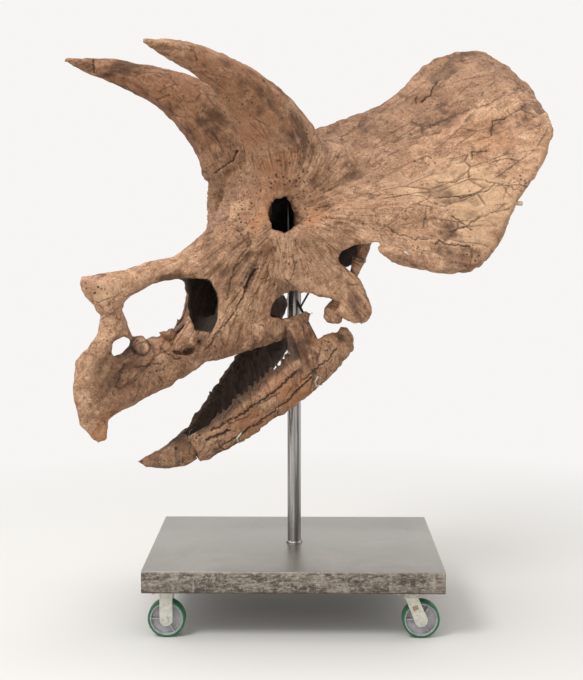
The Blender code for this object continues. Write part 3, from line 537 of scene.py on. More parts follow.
def rgb(red, green, blue):
    """Colour from its display values, 0 to 255."""
    shares = (v / 255 for v in (red, green, blue))
    return (*(((v + 0.055) / 1.055) ** 2.4 if v > 0.04 else v / 12.92 for v in shares), 1)


def bone_finish(name, pale, tan, brown, dark):
    """Mineralised bone: cloudy tints, streaks along the grain, dark cracks and pits, a dry surface, and
    painted shade in cracks, folds, hollows and insides.
    """
    f = Finish(name)
    flow = f.field("flow", "Vector")
    clouds = f.noise(4.5, 5.0, 0.62, 0.6)
    blotches = f.noise(16.0, 6.0, 0.70, 1.0)
    streaks = f.noise(38.0, 6.0, 0.72, 0.5, flow)
    fine_streaks = f.noise(150.0, 4.0, 0.75, 0.0, flow)
    speckle = f.noise(170.0, 4.0, 0.75)
    grit = f.noise(52.0, 8.0, 0.90, 1.4)
    calm = f.ramp(f.field("porous"), (0.0, 1.0), (0.9, 0.15))
    tint = f.mix(f.ramp(clouds, (0.36, 0.0), (0.64, 1.0)), brown, tan)
    tint = f.mix(f.ramp(blotches, (0.46, 0.0), (0.66, 0.85)), tint, pale)
    tint = f.mix(f.maths("MULTIPLY", f.ramp(streaks, (0.36, 0.50), (0.52, 0.0)), calm), tint, brown)
    tint = f.mix(f.maths("MULTIPLY", f.ramp(fine_streaks, (0.34, 0.40), (0.50, 0.0)), calm), tint, dark)
    tint = f.mix(f.ramp(grit, (0.38, 0.95), (0.47, 0.0)), tint, dark)
    tint = f.mix(f.ramp(grit, (0.53, 0.0), (0.61, 0.80)), tint, pale)
    tint = f.mix(f.ramp(speckle, (0.32, 0.60), (0.46, 0.0)), tint, dark)
    tint = f.mix(f.ramp(speckle, (0.56, 0.0), (0.72, 0.55)), tint, pale)
    patch = f.field("patch")
    tint = f.mix(f.ramp(patch, (0.5, 0.0), (0.95, 0.42)), tint, PALE_PATCH)
    tint = f.mix(f.ramp(patch, (0.05, 0.60), (0.5, 0.0)), tint, RUSTY_PATCH)
    # Painted shade in the hollows.
    tint = f.mix(f.ramp(f.field("hollow"), (0.52, 0.0), (0.90, 0.75)), tint, dark)
    torn = f.ramp(f.noise(9.0, 3.0), (0.44, 0.0), (0.56, 1.0))
    borders = f.cells("DISTANCE_TO_EDGE", 26.0, flow)
    craze = f.maths("MULTIPLY", f.ramp(borders, (0.0, 1.0), (0.042, 0.0)), torn)
    tint = f.mix(f.maths("MULTIPLY", craze, 0.8), tint, dark)
    pores = f.cells("F1", 120.0)
    tint = f.mix(f.ramp(pores, (0.10, 0.60), (0.22, 0.0)), tint, dark)
    holes = f.ramp(f.cells("F1", 58.0), (0.17, 1.0), (0.30, 0.0))
    scattered = f.ramp(f.noise(14.0, 4.0), (0.50, 0.0), (0.62, 0.8))
    holes = f.maths("MULTIPLY", holes, f.maths("MAXIMUM", f.field("porous"), scattered))
    tint = f.mix(f.maths("MULTIPLY", holes, 0.92), tint, CRACK_TINT)
    # Painted shade: each region darkened towards the shaded bone colour by its stored shade.
    tint = f.mix(f.field("region_shade"), tint, f.mix(1.0, tint, SHADED_BONE, "MULTIPLY"))
    # Painted shade in the cracks and in the wide, shallow folds.
    tint = f.mix(f.ramp(f.field("split"), (0.16, 0.0), (0.85, 0.90)), tint, CRACK_TINT)
    # Painted shade inside the skull, its eye sockets, nose and mouth, and on the jaws' inner faces.
    tint = f.mix(f.field("dark_shade"), tint, DARK_SHADE_TINT)
    f.colour(tint)
    f.rough(f.ramp(blotches, (0.3, 0.58), (0.7, 0.82)))
    f.shader.inputs["Specular IOR Level"].default_value = 0.30
    f.bump((blotches, 0.40, 0.004), (streaks, 0.30, 0.003), (grit, 0.85, 0.0050), (craze, -0.5, 0.0015),
           (speckle, 0.50, 0.0014),
           (f.ramp(pores, (0.08, 0.0), (0.22, 1.0)), 0.4, 0.0010), (holes, -0.6, 0.0025))
    return f.material


def plate_finish(name, top, dull, edge_pale, edge_dark, edge_brown, level):
    """Steel box: a satin top with faint clouds, and mill-scaled sides with pale runs."""
    f = Finish(name)
    clouds = f.noise(4.0, 6.0, 0.62, 0.6)
    fine = f.noise(90.0, 4.0, 0.7)
    above = f.mix(f.ramp(clouds, (0.3, 0.0), (0.7, 1.0)), dull, top)
    scale = f.noise(1.0, 9.0, 0.80, 0.3, f.stretched((9, 9, 26)))
    side = f.mix(f.ramp(scale, (0.44, 0.0), (0.56, 1.0)), edge_dark, edge_brown)
    grit = f.noise(1.0, 6.0, 0.80, 0.0, f.stretched((55, 55, 120)))
    side = f.mix(f.ramp(grit, (0.50, 0.0), (0.62, 0.75)), side, edge_pale)
    side = f.mix(f.ramp(grit, (0.36, 0.75), (0.48, 0.0)), side, edge_dark)
    runs = f.noise(1.0, 5.0, 0.75, 0.2, f.stretched((30, 30, 6)))
    side = f.mix(f.ramp(runs, (0.54, 0.0), (0.66, 0.60)), side, edge_pale)
    up = f.height()
    # Painted highlight: a paler band just under the top edge.
    side = f.mix(f.ramp(f.maths("SUBTRACT", level[1], up), (0.0025, 0.55), (0.0070, 0.0)), side, edge_pale)
    # Painted shade: a darker band along the lower edge.
    side = f.mix(f.ramp(f.maths("SUBTRACT", up, level[0]), (0.0035, 0.85), (0.0060, 0.0)), side, edge_dark)
    on_top = f.maths("GREATER_THAN", up, level[1] - 0.0012)
    tint = f.mix(on_top, side, above)
    tint = f.mix(f.ramp(fine, (0.30, 0.15), (0.42, 0.0)), tint, edge_dark)
    f.colour(tint)
    rough_top = f.ramp(clouds, (0.25, 0.26), (0.75, 0.38))
    f.rough(f.mix(on_top, (0.62, 0.62, 0.62, 1), rough_top))
    f.link(f.ramp(on_top, (0.0, 0.25), (1.0, 0.80)), f.shader.inputs["Metallic"])
    f.bump((scale, 0.10, 0.001), (fine, 0.12, 0.0004))
    return f.material


def pipe_finish(name, light, dark, across, roughness, shaded_from=9.0):
    """Bare steel drawn lengthwise, with long streaks; above a height it is painted near black as shade, where
    it runs up into the skull.
    """
    f = Finish(name)
    streaks = f.noise(1.0, 5.0, 0.65, 0.0, f.stretched((across, across, across / 60)))
    fine = f.noise(1.0, 3.0, 0.7, 0.0, f.stretched((across * 4, across * 4, across / 8)))
    tint = f.mix(f.ramp(streaks, (0.40, 0.0), (0.62, 1.0)), dark, light)
    tint = f.mix(f.ramp(fine, (0.35, 0.4), (0.50, 0.0)), tint, dark)
    # Painted shade: near black above the given height.
    tint = f.mix(f.ramp(f.maths("SUBTRACT", f.height(), shaded_from), (0.0, 0.0), (0.07, 0.93)), tint, POLE_SHADE_TINT)
    f.colour(tint)
    f.rough(f.ramp(streaks, (0.3, roughness + 0.10), (0.7, roughness)))
    f.shader.inputs["Metallic"].default_value = 0.9
    f.bump((fine, 0.10, 0.0003))
    return f.material


def painted(name, colour, roughness, metallic=0.0):
    f = Finish(name)
    wear = f.noise(60.0, 5.0, 0.7)
    grime = tuple(0.45 * c for c in colour[:3]) + (1,)
    f.colour(f.mix(f.ramp(wear, (0.35, 0.5), (0.55, 0.0)), colour, grime))
    f.rough(f.ramp(wear, (0.3, roughness + 0.15), (0.6, roughness)))
    f.shader.inputs["Metallic"].default_value = metallic
    f.bump((wear, 0.15, 0.0004))
    return f.material


PALE_PATCH = rgb(226, 190, 150)
RUSTY_PATCH = rgb(186, 124, 80)
SHADED_BONE = (0.42, 0.36, 0.32, 1)
CRACK_TINT = rgb(50, 35, 26)
# Colour of the painted shade inside the skull and the mouth.
DARK_SHADE_TINT = rgb(24, 18, 14)
BONE = bone_finish("bone", rgb(224, 184, 149), rgb(197, 153, 119), rgb(156, 115, 86), rgb(84, 56, 38))
BASE_STEEL = plate_finish("base_steel", rgb(172, 168, 162), rgb(148, 144, 138), rgb(176, 168, 157),
                          rgb(74, 65, 57), rgb(132, 121, 110), (BASE_LOW.z, BASE_HIGH.z))
# Colour of the painted shade on the pole inside the skull.
POLE_SHADE_TINT = (0.006, 0.005, 0.004, 1)
POLE_STEEL = pipe_finish("pole_steel", rgb(214, 210, 206), rgb(104, 99, 96), 55.0, 0.22, 1.27)
BAR_STEEL = pipe_finish("bar_steel", rgb(150, 148, 146), rgb(84, 80, 78), 40.0, 0.34)
ZINC = painted("caster_zinc", rgb(205, 203, 192), 0.38, 0.35)
WHEEL_METAL = painted("wheel_core", rgb(168, 168, 170), 0.45, 0.2)
GREEN_TYRE = painted("tyre", rgb(36, 106, 66), 0.5)
STUB_PAINT = painted("stub", rgb(204, 178, 152), 0.6)
TAG_PAINT = painted("tag", rgb(168, 146, 108), 0.5, 0.3)


def dress(thing, material, body, slot, *nodes):
    thing.data.materials.clear()
    thing.data.materials.append(material)
    thing.data.polygons.foreach_set("use_smooth", [True] * len(thing.data.polygons))
    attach(thing, body)
    if nodes:
        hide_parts(*nodes)
    return thing


# --- the skull ---------------------------------------------------------------------------------------
SIDES = ((1, "left"), (-1, "right"))
UPPER = ["nose", "beak_upper", "braincase"]
UPPER += [bone + "_" + side for bone in ("frill", "horn", "cheek", "face", "brow") for _, side in SIDES]


def bone_regions():
    """Each bone and the planes of (point, outward normal) that bound it, tried in order."""
    yield "braincase", [((0, 0, 0.09), (0, 1, 1)), ((0, 0, 0.09), (0, -1, 1)), ((-0.20, 0, 0), (1, 0, 0)),
                        ((-0.55, 0, 0), (-1, 0, 0)), ((0, 0.30, 0), (0, 1, 0)), ((0, -0.30, 0), (0, -1, 0))]
    for side, name in SIDES:
        half = ((0, 0, 0), (0, -side, 0))
        frill = [((-0.27, 0, 0), (1, 0, 0.25)), half]
        yield "horn_" + name, [((-0.05, 0, 0.225), (-0.25, 0, -1)), ((-0.34, 0, 0), (-1, 0, 0)), half]
        yield "parietal_" + name, [*frill, ((0, 0, 0.02), (0, 0, -1))]
        yield "squamosal_" + name, frill
        yield "cheek_" + name, [((0, 0, -0.165), (0, 0, 1)), ((0.115, 0, 0), (1, 0, 0)),
                                ((-0.19, 0, 0), (-1, 0, 0)), ((0, side * 0.19, 0), (0, -side, 0))]
    yield "nose", [((0.29, 0, 0), (-1, 0, 0)), ((0, 0, -0.125), (0, 0, -1))]
    yield "beak_upper", [((0.55, 0, 0), (-1, 0, 0))]
    for side, name in SIDES:
        half = ((0, 0, 0), (0, -side, 0))
        yield "face_" + name, [((0.10, 0, -0.05), (-1, 0, 0.4)), half]
        yield "brow_" + name, [half]


def node_of(bone):
    """The CAD node that a bone belongs to: each half of the frill is two bones in one node."""
    return bone.replace("parietal", "frill").replace("squamosal", "frill")


def bones_apart(skin, material):
    """Parts the skin into its bones; the shading runs on across the borders."""
    mesh = skin.data
    middles = np.empty(len(mesh.polygons) * 3)
    mesh.polygons.foreach_get("center", middles)
    middles = in_skull(middles.reshape(-1, 3))
    owner = np.full(len(middles), -1)
    names = []
    for k, (name, planes) in enumerate(bone_regions()):
        names.append(name)
        inside = owner < 0
        for point, out in planes:
            inside &= (middles - np.array(point)) @ np.array(out, float) <= 0
        owner[inside] = k
    smooth = directions(mesh)
    for k, name in enumerate(names):
        bm = bmesh.new()
        bm.from_mesh(mesh)
        bm.faces.ensure_lookup_table()
        tag = bm.verts.layers.int.new("whole")
        for vert in bm.verts:
            vert[tag] = vert.index
        others = [bm.faces[i] for i in np.nonzero(owner != k)[0]]
        bmesh.ops.delete(bm, geom=others, context="FACES")
        piece = from_bmesh("bone_" + name, bm)
        whole = np.empty(len(piece.data.vertices), np.int32)
        piece.data.attributes["whole"].data.foreach_get("value", whole)
        piece.data.attributes.remove(piece.data.attributes["whole"])
        dress(piece, material, "root", "bone", node_of(name))
        piece.data.normals_split_custom_set_from_vertices(smooth[whole])
    bpy.data.objects.remove(skin, do_unlink=True)


# Painted shade of each region: middle (x, z), half sizes and how dark, 0 to 1.
REGION_SHADES = [((0.0, 0.45), (0.45, 0.3), 0.52), ((0.12, -0.1), (0.16, 0.12), 0.26),
         ((0.66, -0.33), (0.13, 0.12), 0.72), ((-0.7, 0.22), (0.6, 0.15), 0.62),
         ((-0.36, 0.07), (0.22, 0.11), 0.46), ((0.05, 0.17), (0.14, 0.11), 0.48),
         ((0.45, -0.36), (0.2, 0.06), 0.62), ((0.68, -0.03), (0.07, 0.05), 0.32),
         ((-0.95, 0.16), (0.2, 0.08), 0.46), ((0.02, -0.22), (0.1, 0.1), 0.24)]


def shade(mesh, q, base=0.0):
    """Stores the painted shade of each region of the bone, with more painted shade on the skull's right side.
    """
    region_shade = np.full(len(q), base)
    wander = 0.28 * layered(q, 0.09, 3, 77)
    for (x, z), (wide, tall), dark in REGION_SHADES:
        away = np.hypot((q[:, 0] - x) / wide, (q[:, 2] - z) / tall) + wander
        region_shade = np.maximum(region_shade, dark * (1 - ease(away, 0.65, 1.15)))
    # More painted shade on the skull's right side, away from the lamps.
    region_shade += 0.22 * (q[:, 1] < -0.02) + 0.10 * wander
    put_field(mesh, "region_shade", region_shade)


def facing_axis(q, normal, low, high, half, middle_x, middle_z):
    """1 on the walls of a hollow that runs between two heights about the skull's middle."""
    n = normal @ TO_SKULL[:3, :3].T
    box = (np.abs(q[:, 1]) < half) & (q[:, 2] > low) & (q[:, 2] < high)
    box = box & (np.abs(q[:, 0] - middle_x) < half + 0.05)
    inwards = (middle_x - q[:, 0]) * n[:, 0] - q[:, 1] * n[:, 1] + 0.4 * (middle_z - q[:, 2]) * n[:, 2]
    return box & (inwards > 0.0)


# Splinters inside the nose, the rear wall of the eye socket and fillings of the palate: start, end and the
# two radii, in the skull's frame.
SPLINTERS = [((0.428, 0.070, -0.320), (0.392, 0.066, -0.216), 0.032, 0.004),
                  ((0.470, 0.066, -0.310), (0.425, 0.066, -0.258), 0.022, 0.008),
                  ((0.470, 0.000, -0.300), (0.474, 0.012, -0.262), 0.018, 0.013),
                  ((0.452, 0.010, -0.300), (0.448, 0.018, -0.248), 0.016, 0.009),
                  ((0.470, 0.016, -0.262), (0.490, 0.024, -0.244), 0.012, 0.005),
                  ((0.625, 0.000, -0.285), (0.627, 0.000, -0.262), 0.010, 0.003),
                  ((0.648, 0.000, -0.285), (0.650, 0.000, -0.258), 0.009, 0.003),
                  ((0.604, 0.000, -0.285), (0.602, 0.000, -0.264), 0.010, 0.004),
                  ((0.580, 0.010, -0.250), (0.574, 0.046, -0.248), 0.030, 0.022),
                  ((-0.058, 0.185, -0.064), (-0.074, 0.185, -0.020), 0.027, 0.029),
                  ((-0.074, 0.185, -0.020), (-0.074, 0.185, 0.024), 0.029, 0.029),
                  ((-0.074, 0.185, 0.024), (-0.060, 0.185, 0.062), 0.029, 0.027),
                  ((0.120, 0.075, -0.262), (0.045, 0.062, -0.272), 0.034, 0.026),
                  ((0.100, 0.066, -0.332), (0.045, 0.058, -0.335), 0.030, 0.022)]


BOSS, BOSS_RADIUS = (0.576, -0.250), 0.029     # broken stump beside the hole in the beak: x, z and radius


def make_skull():
    skin = grown("skull", UPPER, SKULL_GRID, 40, SPLINTERS)
    q, normal = age(skin, 3, 520, CRACKS, horned=True)
    n = normal @ TO_SKULL[:3, :3].T
    tube = np.hypot(q[:, 0], q[:, 2] + 0.004) < 0.115
    tube = tube & ((-q[:, 0] * n[:, 0] - q[:, 2] * n[:, 2]) > -0.01)
    tube = tube * (1 - ease(np.abs(q[:, 1]), 0.100, 0.165))
    hollow = facing_axis(q, normal, -0.42, 0.12, 0.13, -0.03, -0.1)
    cavity = facing_axis(q, normal, -0.34, -0.085, 0.098, 0.30, -0.21) & (q[:, 0] > 0.12) & (q[:, 0] < 0.42)
    cavity = cavity & ((q[:, 1] < 0.055) | (q[:, 0] < 0.36))
    deep = (q[:, 2] < -0.20) & (np.abs(q[:, 1]) < 0.11) & (q[:, 0] > 0.0) & (q[:, 0] < 0.13)
    back = (q[:, 2] < -0.13) & (np.abs(q[:, 1]) < 0.21) & (q[:, 0] > -0.32) & (q[:, 0] < -0.12)
    ring = np.hypot(q[:, 0] - BOSS[0], q[:, 2] - BOSS[1]) - BOSS_RADIUS
    ring = np.exp(-(ring / 0.005) ** 2) * ((q[:, 1] > 0.015) & (q[:, 0] < 0.64))
    # Painted shade in the eye sockets, inside the braincase, in the nose cavity, under the palate, under the
    # back of the skull, and in a thin ring round the broken stump.
    dark_shades = [0.80 * ring, 0.96 * tube, 0.96 * hollow, 0.93 * cavity, 0.86 * deep, 0.97 * back]
    put_field(skin.data, "dark_shade", np.maximum.reduce(dark_shades))
    shade(skin.data, q)
    bones_apart(skin, BONE)
    for side, name in SIDES:
        column = grown("bone_quadrate_" + name, ["quadrate_" + name], 0.005, 12)
        q, _ = age(column, 21 + side, 6)
        # A little painted shade over the whole quadrate.
        put_field(column.data, "dark_shade", np.full(len(q), 0.1))
        shade(column.data, q, 0.2)
        dress(column, BONE, "root", "bone", "quadrate_" + name)


# Hooked end of the left jaw, behind its joint: a route in the skull's frame.
HOOK = [(-0.080, 0.214, -0.492), (-0.088, 0.214, -0.464), (-0.058, 0.214, -0.446)]
# Teeth of the right jaw that stand up along its rim: their roots.
RIM_TEETH = [(0.347, -0.08, -0.572), (0.327, -0.085, -0.566), (0.307, -0.091, -0.56),
             (0.284, -0.097, -0.554), (0.261, -0.103, -0.548), (0.247, -0.109, -0.543),
             (0.233, -0.114, -0.537), (0.212, -0.121, -0.529), (0.192, -0.127, -0.523)]
# Height of the rim that the near teeth stand in, over x.
JAW_TOP = ((0.10, 0.18, 0.28, 0.38, 0.48, 0.56), (-0.462, -0.491, -0.532, -0.573, -0.607, -0.620))


def make_jaws():
    for side, name in SIDES:
        routes = [([(x, side * y, z) for x, y, z in route], half, depth)
                  for route, half, depth in JAW_CRACKS]
        teeth = [(root, (root[0] + 0.004, root[1], root[2] + 0.038), 0.0090, 0.0045) for root in RIM_TEETH]
        hook = [(HOOK[0], HOOK[1], 0.018, 0.013), (HOOK[1], HOOK[2], 0.013, 0.008)]
        jaw = grown("bone_jaw_" + name, ["jaw_" + name], JAW_GRID, 5, teeth if side < 0 else hook)
        q, normal = age(jaw, 31 + side, 90, routes, 1.6)
        n = normal @ TO_SKULL[:3, :3].T
        # Painted shade on the jaw's inner face, over the teeth along its rim and in the hollow behind its
        # joint.
        inner = ease(-side * n[:, 1], 0.1, 0.7) * (0.86 if side < 0 else 0.6)
        above = ease(q[:, 2] - np.interp(q[:, 0], *JAW_TOP), -0.016, 0.002)
        hollow = near(q, (-0.048, side * 0.216, -0.474), 0.026) * 0.90
        toothed = above * (q[:, 0] > 0.11) * (q[:, 0] < 0.50) * (0.70 if side > 0 else 0.8)
        put_field(jaw.data, "dark_shade", np.maximum.reduce([inner, toothed, hollow]))
        shade(jaw.data, q, 0.36)
        dress(jaw, BONE, "root", "bone", "jaw_" + name)
    chin = grown("bone_beak_lower", ["beak_lower"], JAW_GRID, 8)
    q, normal = age(chin, 41, 40, (), 0.9)
    n = normal @ TO_SKULL[:3, :3].T
    # Painted shade in the trough of the lower beak and on a small spot near its front.
    trough = near(q * (0.6, 1, 1), (0.545 * 0.6, 0.0, -0.600), 0.05)
    put_field(chin.data, "dark_shade", np.maximum(0.80 * trough, 0.9 * near(q, (0.579, 0.034, -0.628), 0.012)))
    shade(chin.data, q, 0.50)
    dress(chin, BONE, "root", "bone", "beak_lower")


# Bent wires and rods of the armature that show: routes in the skull's frame and radius.
RODS = [([(-0.696, 0.488, -0.212), (-0.712, 0.502, -0.221), (-0.723, 0.508, -0.226)], 0.0080),
        ([(-0.240, 0.430, -0.234), (-0.262, 0.440, -0.246), (-0.262, 0.452, -0.238), (-0.248, 0.456, -0.222)],
         0.0030),
        ([(0.360, 0.100, -0.690), (0.388, 0.112, -0.684), (0.392, 0.120, -0.664), (0.372, 0.124, -0.652)],
         0.0030),
        ([(0.060, 0.196, -0.600), (0.090, 0.208, -0.590), (0.094, 0.222, -0.570), (0.080, 0.226, -0.556)],
         0.0030),
        ([(0.592, 0.030, -0.690), (0.596, 0.046, -0.672), (0.588, 0.050, -0.656)], 0.0020),
        ([(0.588, 0.020, -0.694), (0.576, 0.046, -0.680), (0.574, 0.052, -0.662)], 0.0020),
        ([(0.530, 0.055, -0.632), (0.536, 0.058, -0.612), (0.520, 0.052, -0.590), (0.506, 0.046, -0.588)],
         0.0018)]
ROD_SIDES = 12
RING_AT, RING_ALONG, RING_RADIUS = (-0.190, 0.258, -0.233), (0.70, 0.03, -0.71), 0.0245


def ring_route(shift):
    """Closed route around a slender bone, `shift` metres along it."""
    along = Vector(RING_ALONG).normalized()
    across = along.cross(Vector((0, 1, 0))).normalized()
    over = along.cross(across)
    middle = Vector(RING_AT) + along * shift
    turns = (math.pi * k / 6 for k in range(13))
    return [tuple(middle + (across * math.cos(a) + over * math.sin(a)) * RING_RADIUS) for a in turns]


def rod(name, route, radius):
    """Round wire along a route of points in the skull's frame."""
    path = [SKULL @ Vector(p) for p in route]
    bm = bmesh.new()
    rings = []
    for k, here in enumerate(path):
        ahead = (path[min(k + 1, len(path) - 1)] - path[max(k - 1, 0)]).normalized()
        place = Matrix.Translation(here) @ ahead.to_track_quat("Z", "Y").to_matrix().to_4x4()
        made = bmesh.ops.create_circle(bm, segments=ROD_SIDES, radius=radius, matrix=place)
        rings.append(made["verts"])
    for a, b in zip(rings, rings[1:]):
        for i in range(ROD_SIDES):
            j = (i + 1) % ROD_SIDES
            bm.faces.new((a[i], a[j], b[j], b[i]))
    for ring in (rings[0], rings[-1]):
        bm.faces.new(ring)
    bmesh.ops.recalc_face_normals(bm, faces=bm.faces)
    return from_bmesh(name, bm)


def make_rods():
    """The rod's painted end at the frill, the zinc clips and the dark wires, told apart by thickness."""
    rings = [(ring_route(shift), 0.0011) for shift in (-0.003, 0.002)]
    for k, (route, radius) in enumerate(RODS + rings):
        paint = STUB_PAINT if radius > 0.005 else ZINC if radius > 0.0025 else BAR_STEEL
        dress(rod("wire_%d" % k, route, radius), paint, "root", "pole_steel")


# --- the stand -----------------------------------------------------------------------------------------
WHEEL_RADIUS = 0.0635
WHEEL_WIDTH = 0.044
TYRE = 0.0075
AXLE = 0.006
WHEEL_STEPS = 64
FORK_WIDTH = 0.044
FORK_SHEET = 0.004
FORK_INSIDE = WHEEL_WIDTH / 2 + 0.004
TRAIL = 0.034                    # from a swivel caster's kingpin to its axle


def mirrored(rows):
    """A profile's rows and their mirror image, beyond the piece's middle."""
    return rows + [(-reach, radius) for reach, radius in reversed(rows)]


def turned(name, profile, centre, axis, steps=WHEEL_STEPS, shut=True):
    """Turned piece: profile rows are (distance along the axis, radius); a shut one is a ring."""
    bm = bmesh.new()
    along = Vector(axis)
    out = Vector((1, 0, 0))
    rows = [bm.verts.new(Vector(centre) + along * reach + out * radius) for reach, radius in profile]
    pairs = list(zip(rows, rows[1:])) + ([(rows[-1], rows[0])] if shut else [])
    edges = [bm.edges.new(pair) for pair in pairs]
    bmesh.ops.spin(bm, geom=rows + edges, cent=centre, axis=along, angle=2 * math.pi, steps=steps,
                   use_merge=True)
    bmesh.ops.remove_doubles(bm, verts=bm.verts, dist=MERGE)
    bmesh.ops.recalc_face_normals(bm, faces=bm.faces)
    return from_bmesh(name, bm)


def block(name, size, centre, turn=None, edge=0.001):
    """Box with softened edges."""
    bm = bmesh.new()
    place = Matrix.Translation(centre) @ (turn or Matrix.Identity(4)) @ Matrix.Diagonal((*size, 1))
    bmesh.ops.create_cube(bm, size=1.0, matrix=place)
    bmesh.ops.bevel(bm, geom=bm.edges[:], offset=edge, segments=2, profile=0.5, affect="EDGES", material=-1)
    return from_bmesh(name, bm)


def joined(name, things):
    """One object out of several."""
    bm = bmesh.new()
    for thing in things:
        bm.from_mesh(thing.data)
        bpy.data.objects.remove(thing, do_unlink=True)
    return from_bmesh(name, bm)


def copied(node, name, edge, segments=2):
    """Copy of a CAD node's mesh with its coplanar facets merged and its edges softened."""
    bm = bmesh.new()
    bm.from_mesh(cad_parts[node].data)
    bmesh.ops.remove_doubles(bm, verts=bm.verts, dist=MERGE)
    bmesh.ops.dissolve_limit(bm, angle_limit=0.01, verts=bm.verts, edges=bm.edges)
    bmesh.ops.recalc_face_normals(bm, faces=bm.faces)
    thing = from_bmesh(name, bm)
    soft = thing.modifiers.new("soft", "BEVEL")
    soft.width = edge
    soft.segments = segments
    soft.limit_method = "ANGLE"
    soft.angle_limit = math.radians(35)
    return settle(thing)


def creased(thing, angle=35):
    """Smooth shading that keeps edges sharper than the angle."""
    mesh = thing.data
    bm = bmesh.new()
    bm.from_mesh(mesh)
    for edge in bm.edges:
        edge.smooth = len(edge.link_faces) == 2 and edge.calc_face_angle() < math.radians(angle)
    bm.to_mesh(mesh)
    bm.free()
    return thing


def strip(name, x0, z0, x1, z1, low, high, width):
    """Fork leg: a flat strip between two points of a vertical plane, round at its lower end."""
    along = Vector((x1 - x0, 0, z1 - z0)).normalized()
    across = Vector((-along.z, 0, along.x))
    if across.x < 0:
        across.negate()
    end = Vector((x1, 0, z1))
    rim = [Vector((x0 - width / 2, 0, z0))]
    rim += [end + (along * math.sin(a) - across * math.cos(a)) * (width / 2)
            for a in (math.pi * k / 24 for k in range(25))]
    rim.append(Vector((x0 + width / 2, 0, z0)))
    bm = bmesh.new()
    face = bm.faces.new([bm.verts.new((p.x, low, p.z)) for p in rim])
    grown_faces = bmesh.ops.extrude_face_region(bm, geom=[face])
    moved = [v for v in grown_faces["geom"] if isinstance(v, bmesh.types.BMVert)]
    bmesh.ops.translate(bm, verts=moved, vec=(0, high - low, 0))
    bmesh.ops.recalc_face_normals(bm, faces=bm.faces)
    bmesh.ops.bevel(bm, geom=[e for e in bm.edges if e.calc_face_angle(0) > 1.0], offset=0.0008, segments=2,
                    profile=0.5, affect="EDGES", material=-1)
    return from_bmesh(name, bm)


def fork(name, x, y, top, trail):
    """Two legs, their bridge, and the axle with its bolt head and nut."""
    bridge = (0.052, 2 * FORK_INSIDE + FORK_SHEET, FORK_SHEET)
    pieces = [block("bridge", bridge, (x, y, top - FORK_SHEET / 2))]
    hub = Vector((x + trail, y, WHEEL_RADIUS))
    for side in (1, -1):
        low, high = sorted((y + side * FORK_INSIDE, y + side * (FORK_INSIDE + FORK_SHEET)))
        pieces.append(strip("leg", x, top - FORK_SHEET / 2, hub.x, hub.z, low, high, FORK_WIDTH))
    reach = FORK_INSIDE + FORK_SHEET + 0.006
    pieces.append(turned("axle", [(-reach + 0.001, 0.0), (-reach + 0.001, AXLE), (reach - 0.001, AXLE),
                                  (reach - 0.001, 0.0)], hub, (0, 1, 0), 24, False))
    for side in (1, -1):
        washer = FORK_INSIDE + FORK_SHEET
        rows = [(washer, AXLE), (washer, AXLE * 1.58), (washer + 0.0012, AXLE * 1.58),
                (washer + 0.0012, AXLE)]
        pieces.append(turned("washer", [(side * at, r) for at, r in rows], hub, (0, 1, 0), 32))
        rows = [(washer + 0.0014, AXLE * 0.9), (washer + 0.0014, AXLE * 1.45), (reach - 0.0008, AXLE * 1.40),
                (reach, AXLE * 1.2), (reach, AXLE * 0.9)]
        pieces.append(turned("nut", [(side * at, r) for at, r in rows], hub, (0, 1, 0), 6))
    return joined(name, pieces)


def wheel(tag, hub):
    """Cast wheel centre with three ribs a side, and its bonded tyre."""
    half, tread, y = WHEEL_WIDTH / 2, WHEEL_RADIUS - TYRE, (0, 1, 0)
    rows = [(-half - 0.002, AXLE + 0.0003), (-half - 0.002, 0.0150), (-half - 0.001, 0.0165),
            (-0.0070, 0.0185), (-0.0060, 0.021), (-0.0060, tread - 0.010), (-0.0075, tread - 0.0075),
            (-half + 0.002, tread - 0.0045), (-half + 0.0012, tread - 0.0035),
            (-half + 0.0012, tread - 0.0002)]
    core = [turned("centre", mirrored(rows), hub, y)]
    for k in range(3):
        turn = Matrix.Rotation(math.radians(60 + 120 * k), 4, "Y")
        middle = Vector(hub) + turn @ Vector(((0.014 + tread) / 2, 0, 0))
        core.append(block("rib", (tread - 0.014 - 0.004, WHEEL_WIDTH - 0.010, 0.004), middle, turn, 0.0006))
    rows = [(-half + 0.001, tread + 0.0003), (-half + 0.0002, tread + 0.001), (-half, tread + 0.003),
            (-half + 0.001, WHEEL_RADIUS - 0.0018), (-half + 0.0035, WHEEL_RADIUS - 0.0001)]
    tyre = turned("tread", mirrored(rows), hub, y)
    return joined("wheel_" + tag, core), tyre


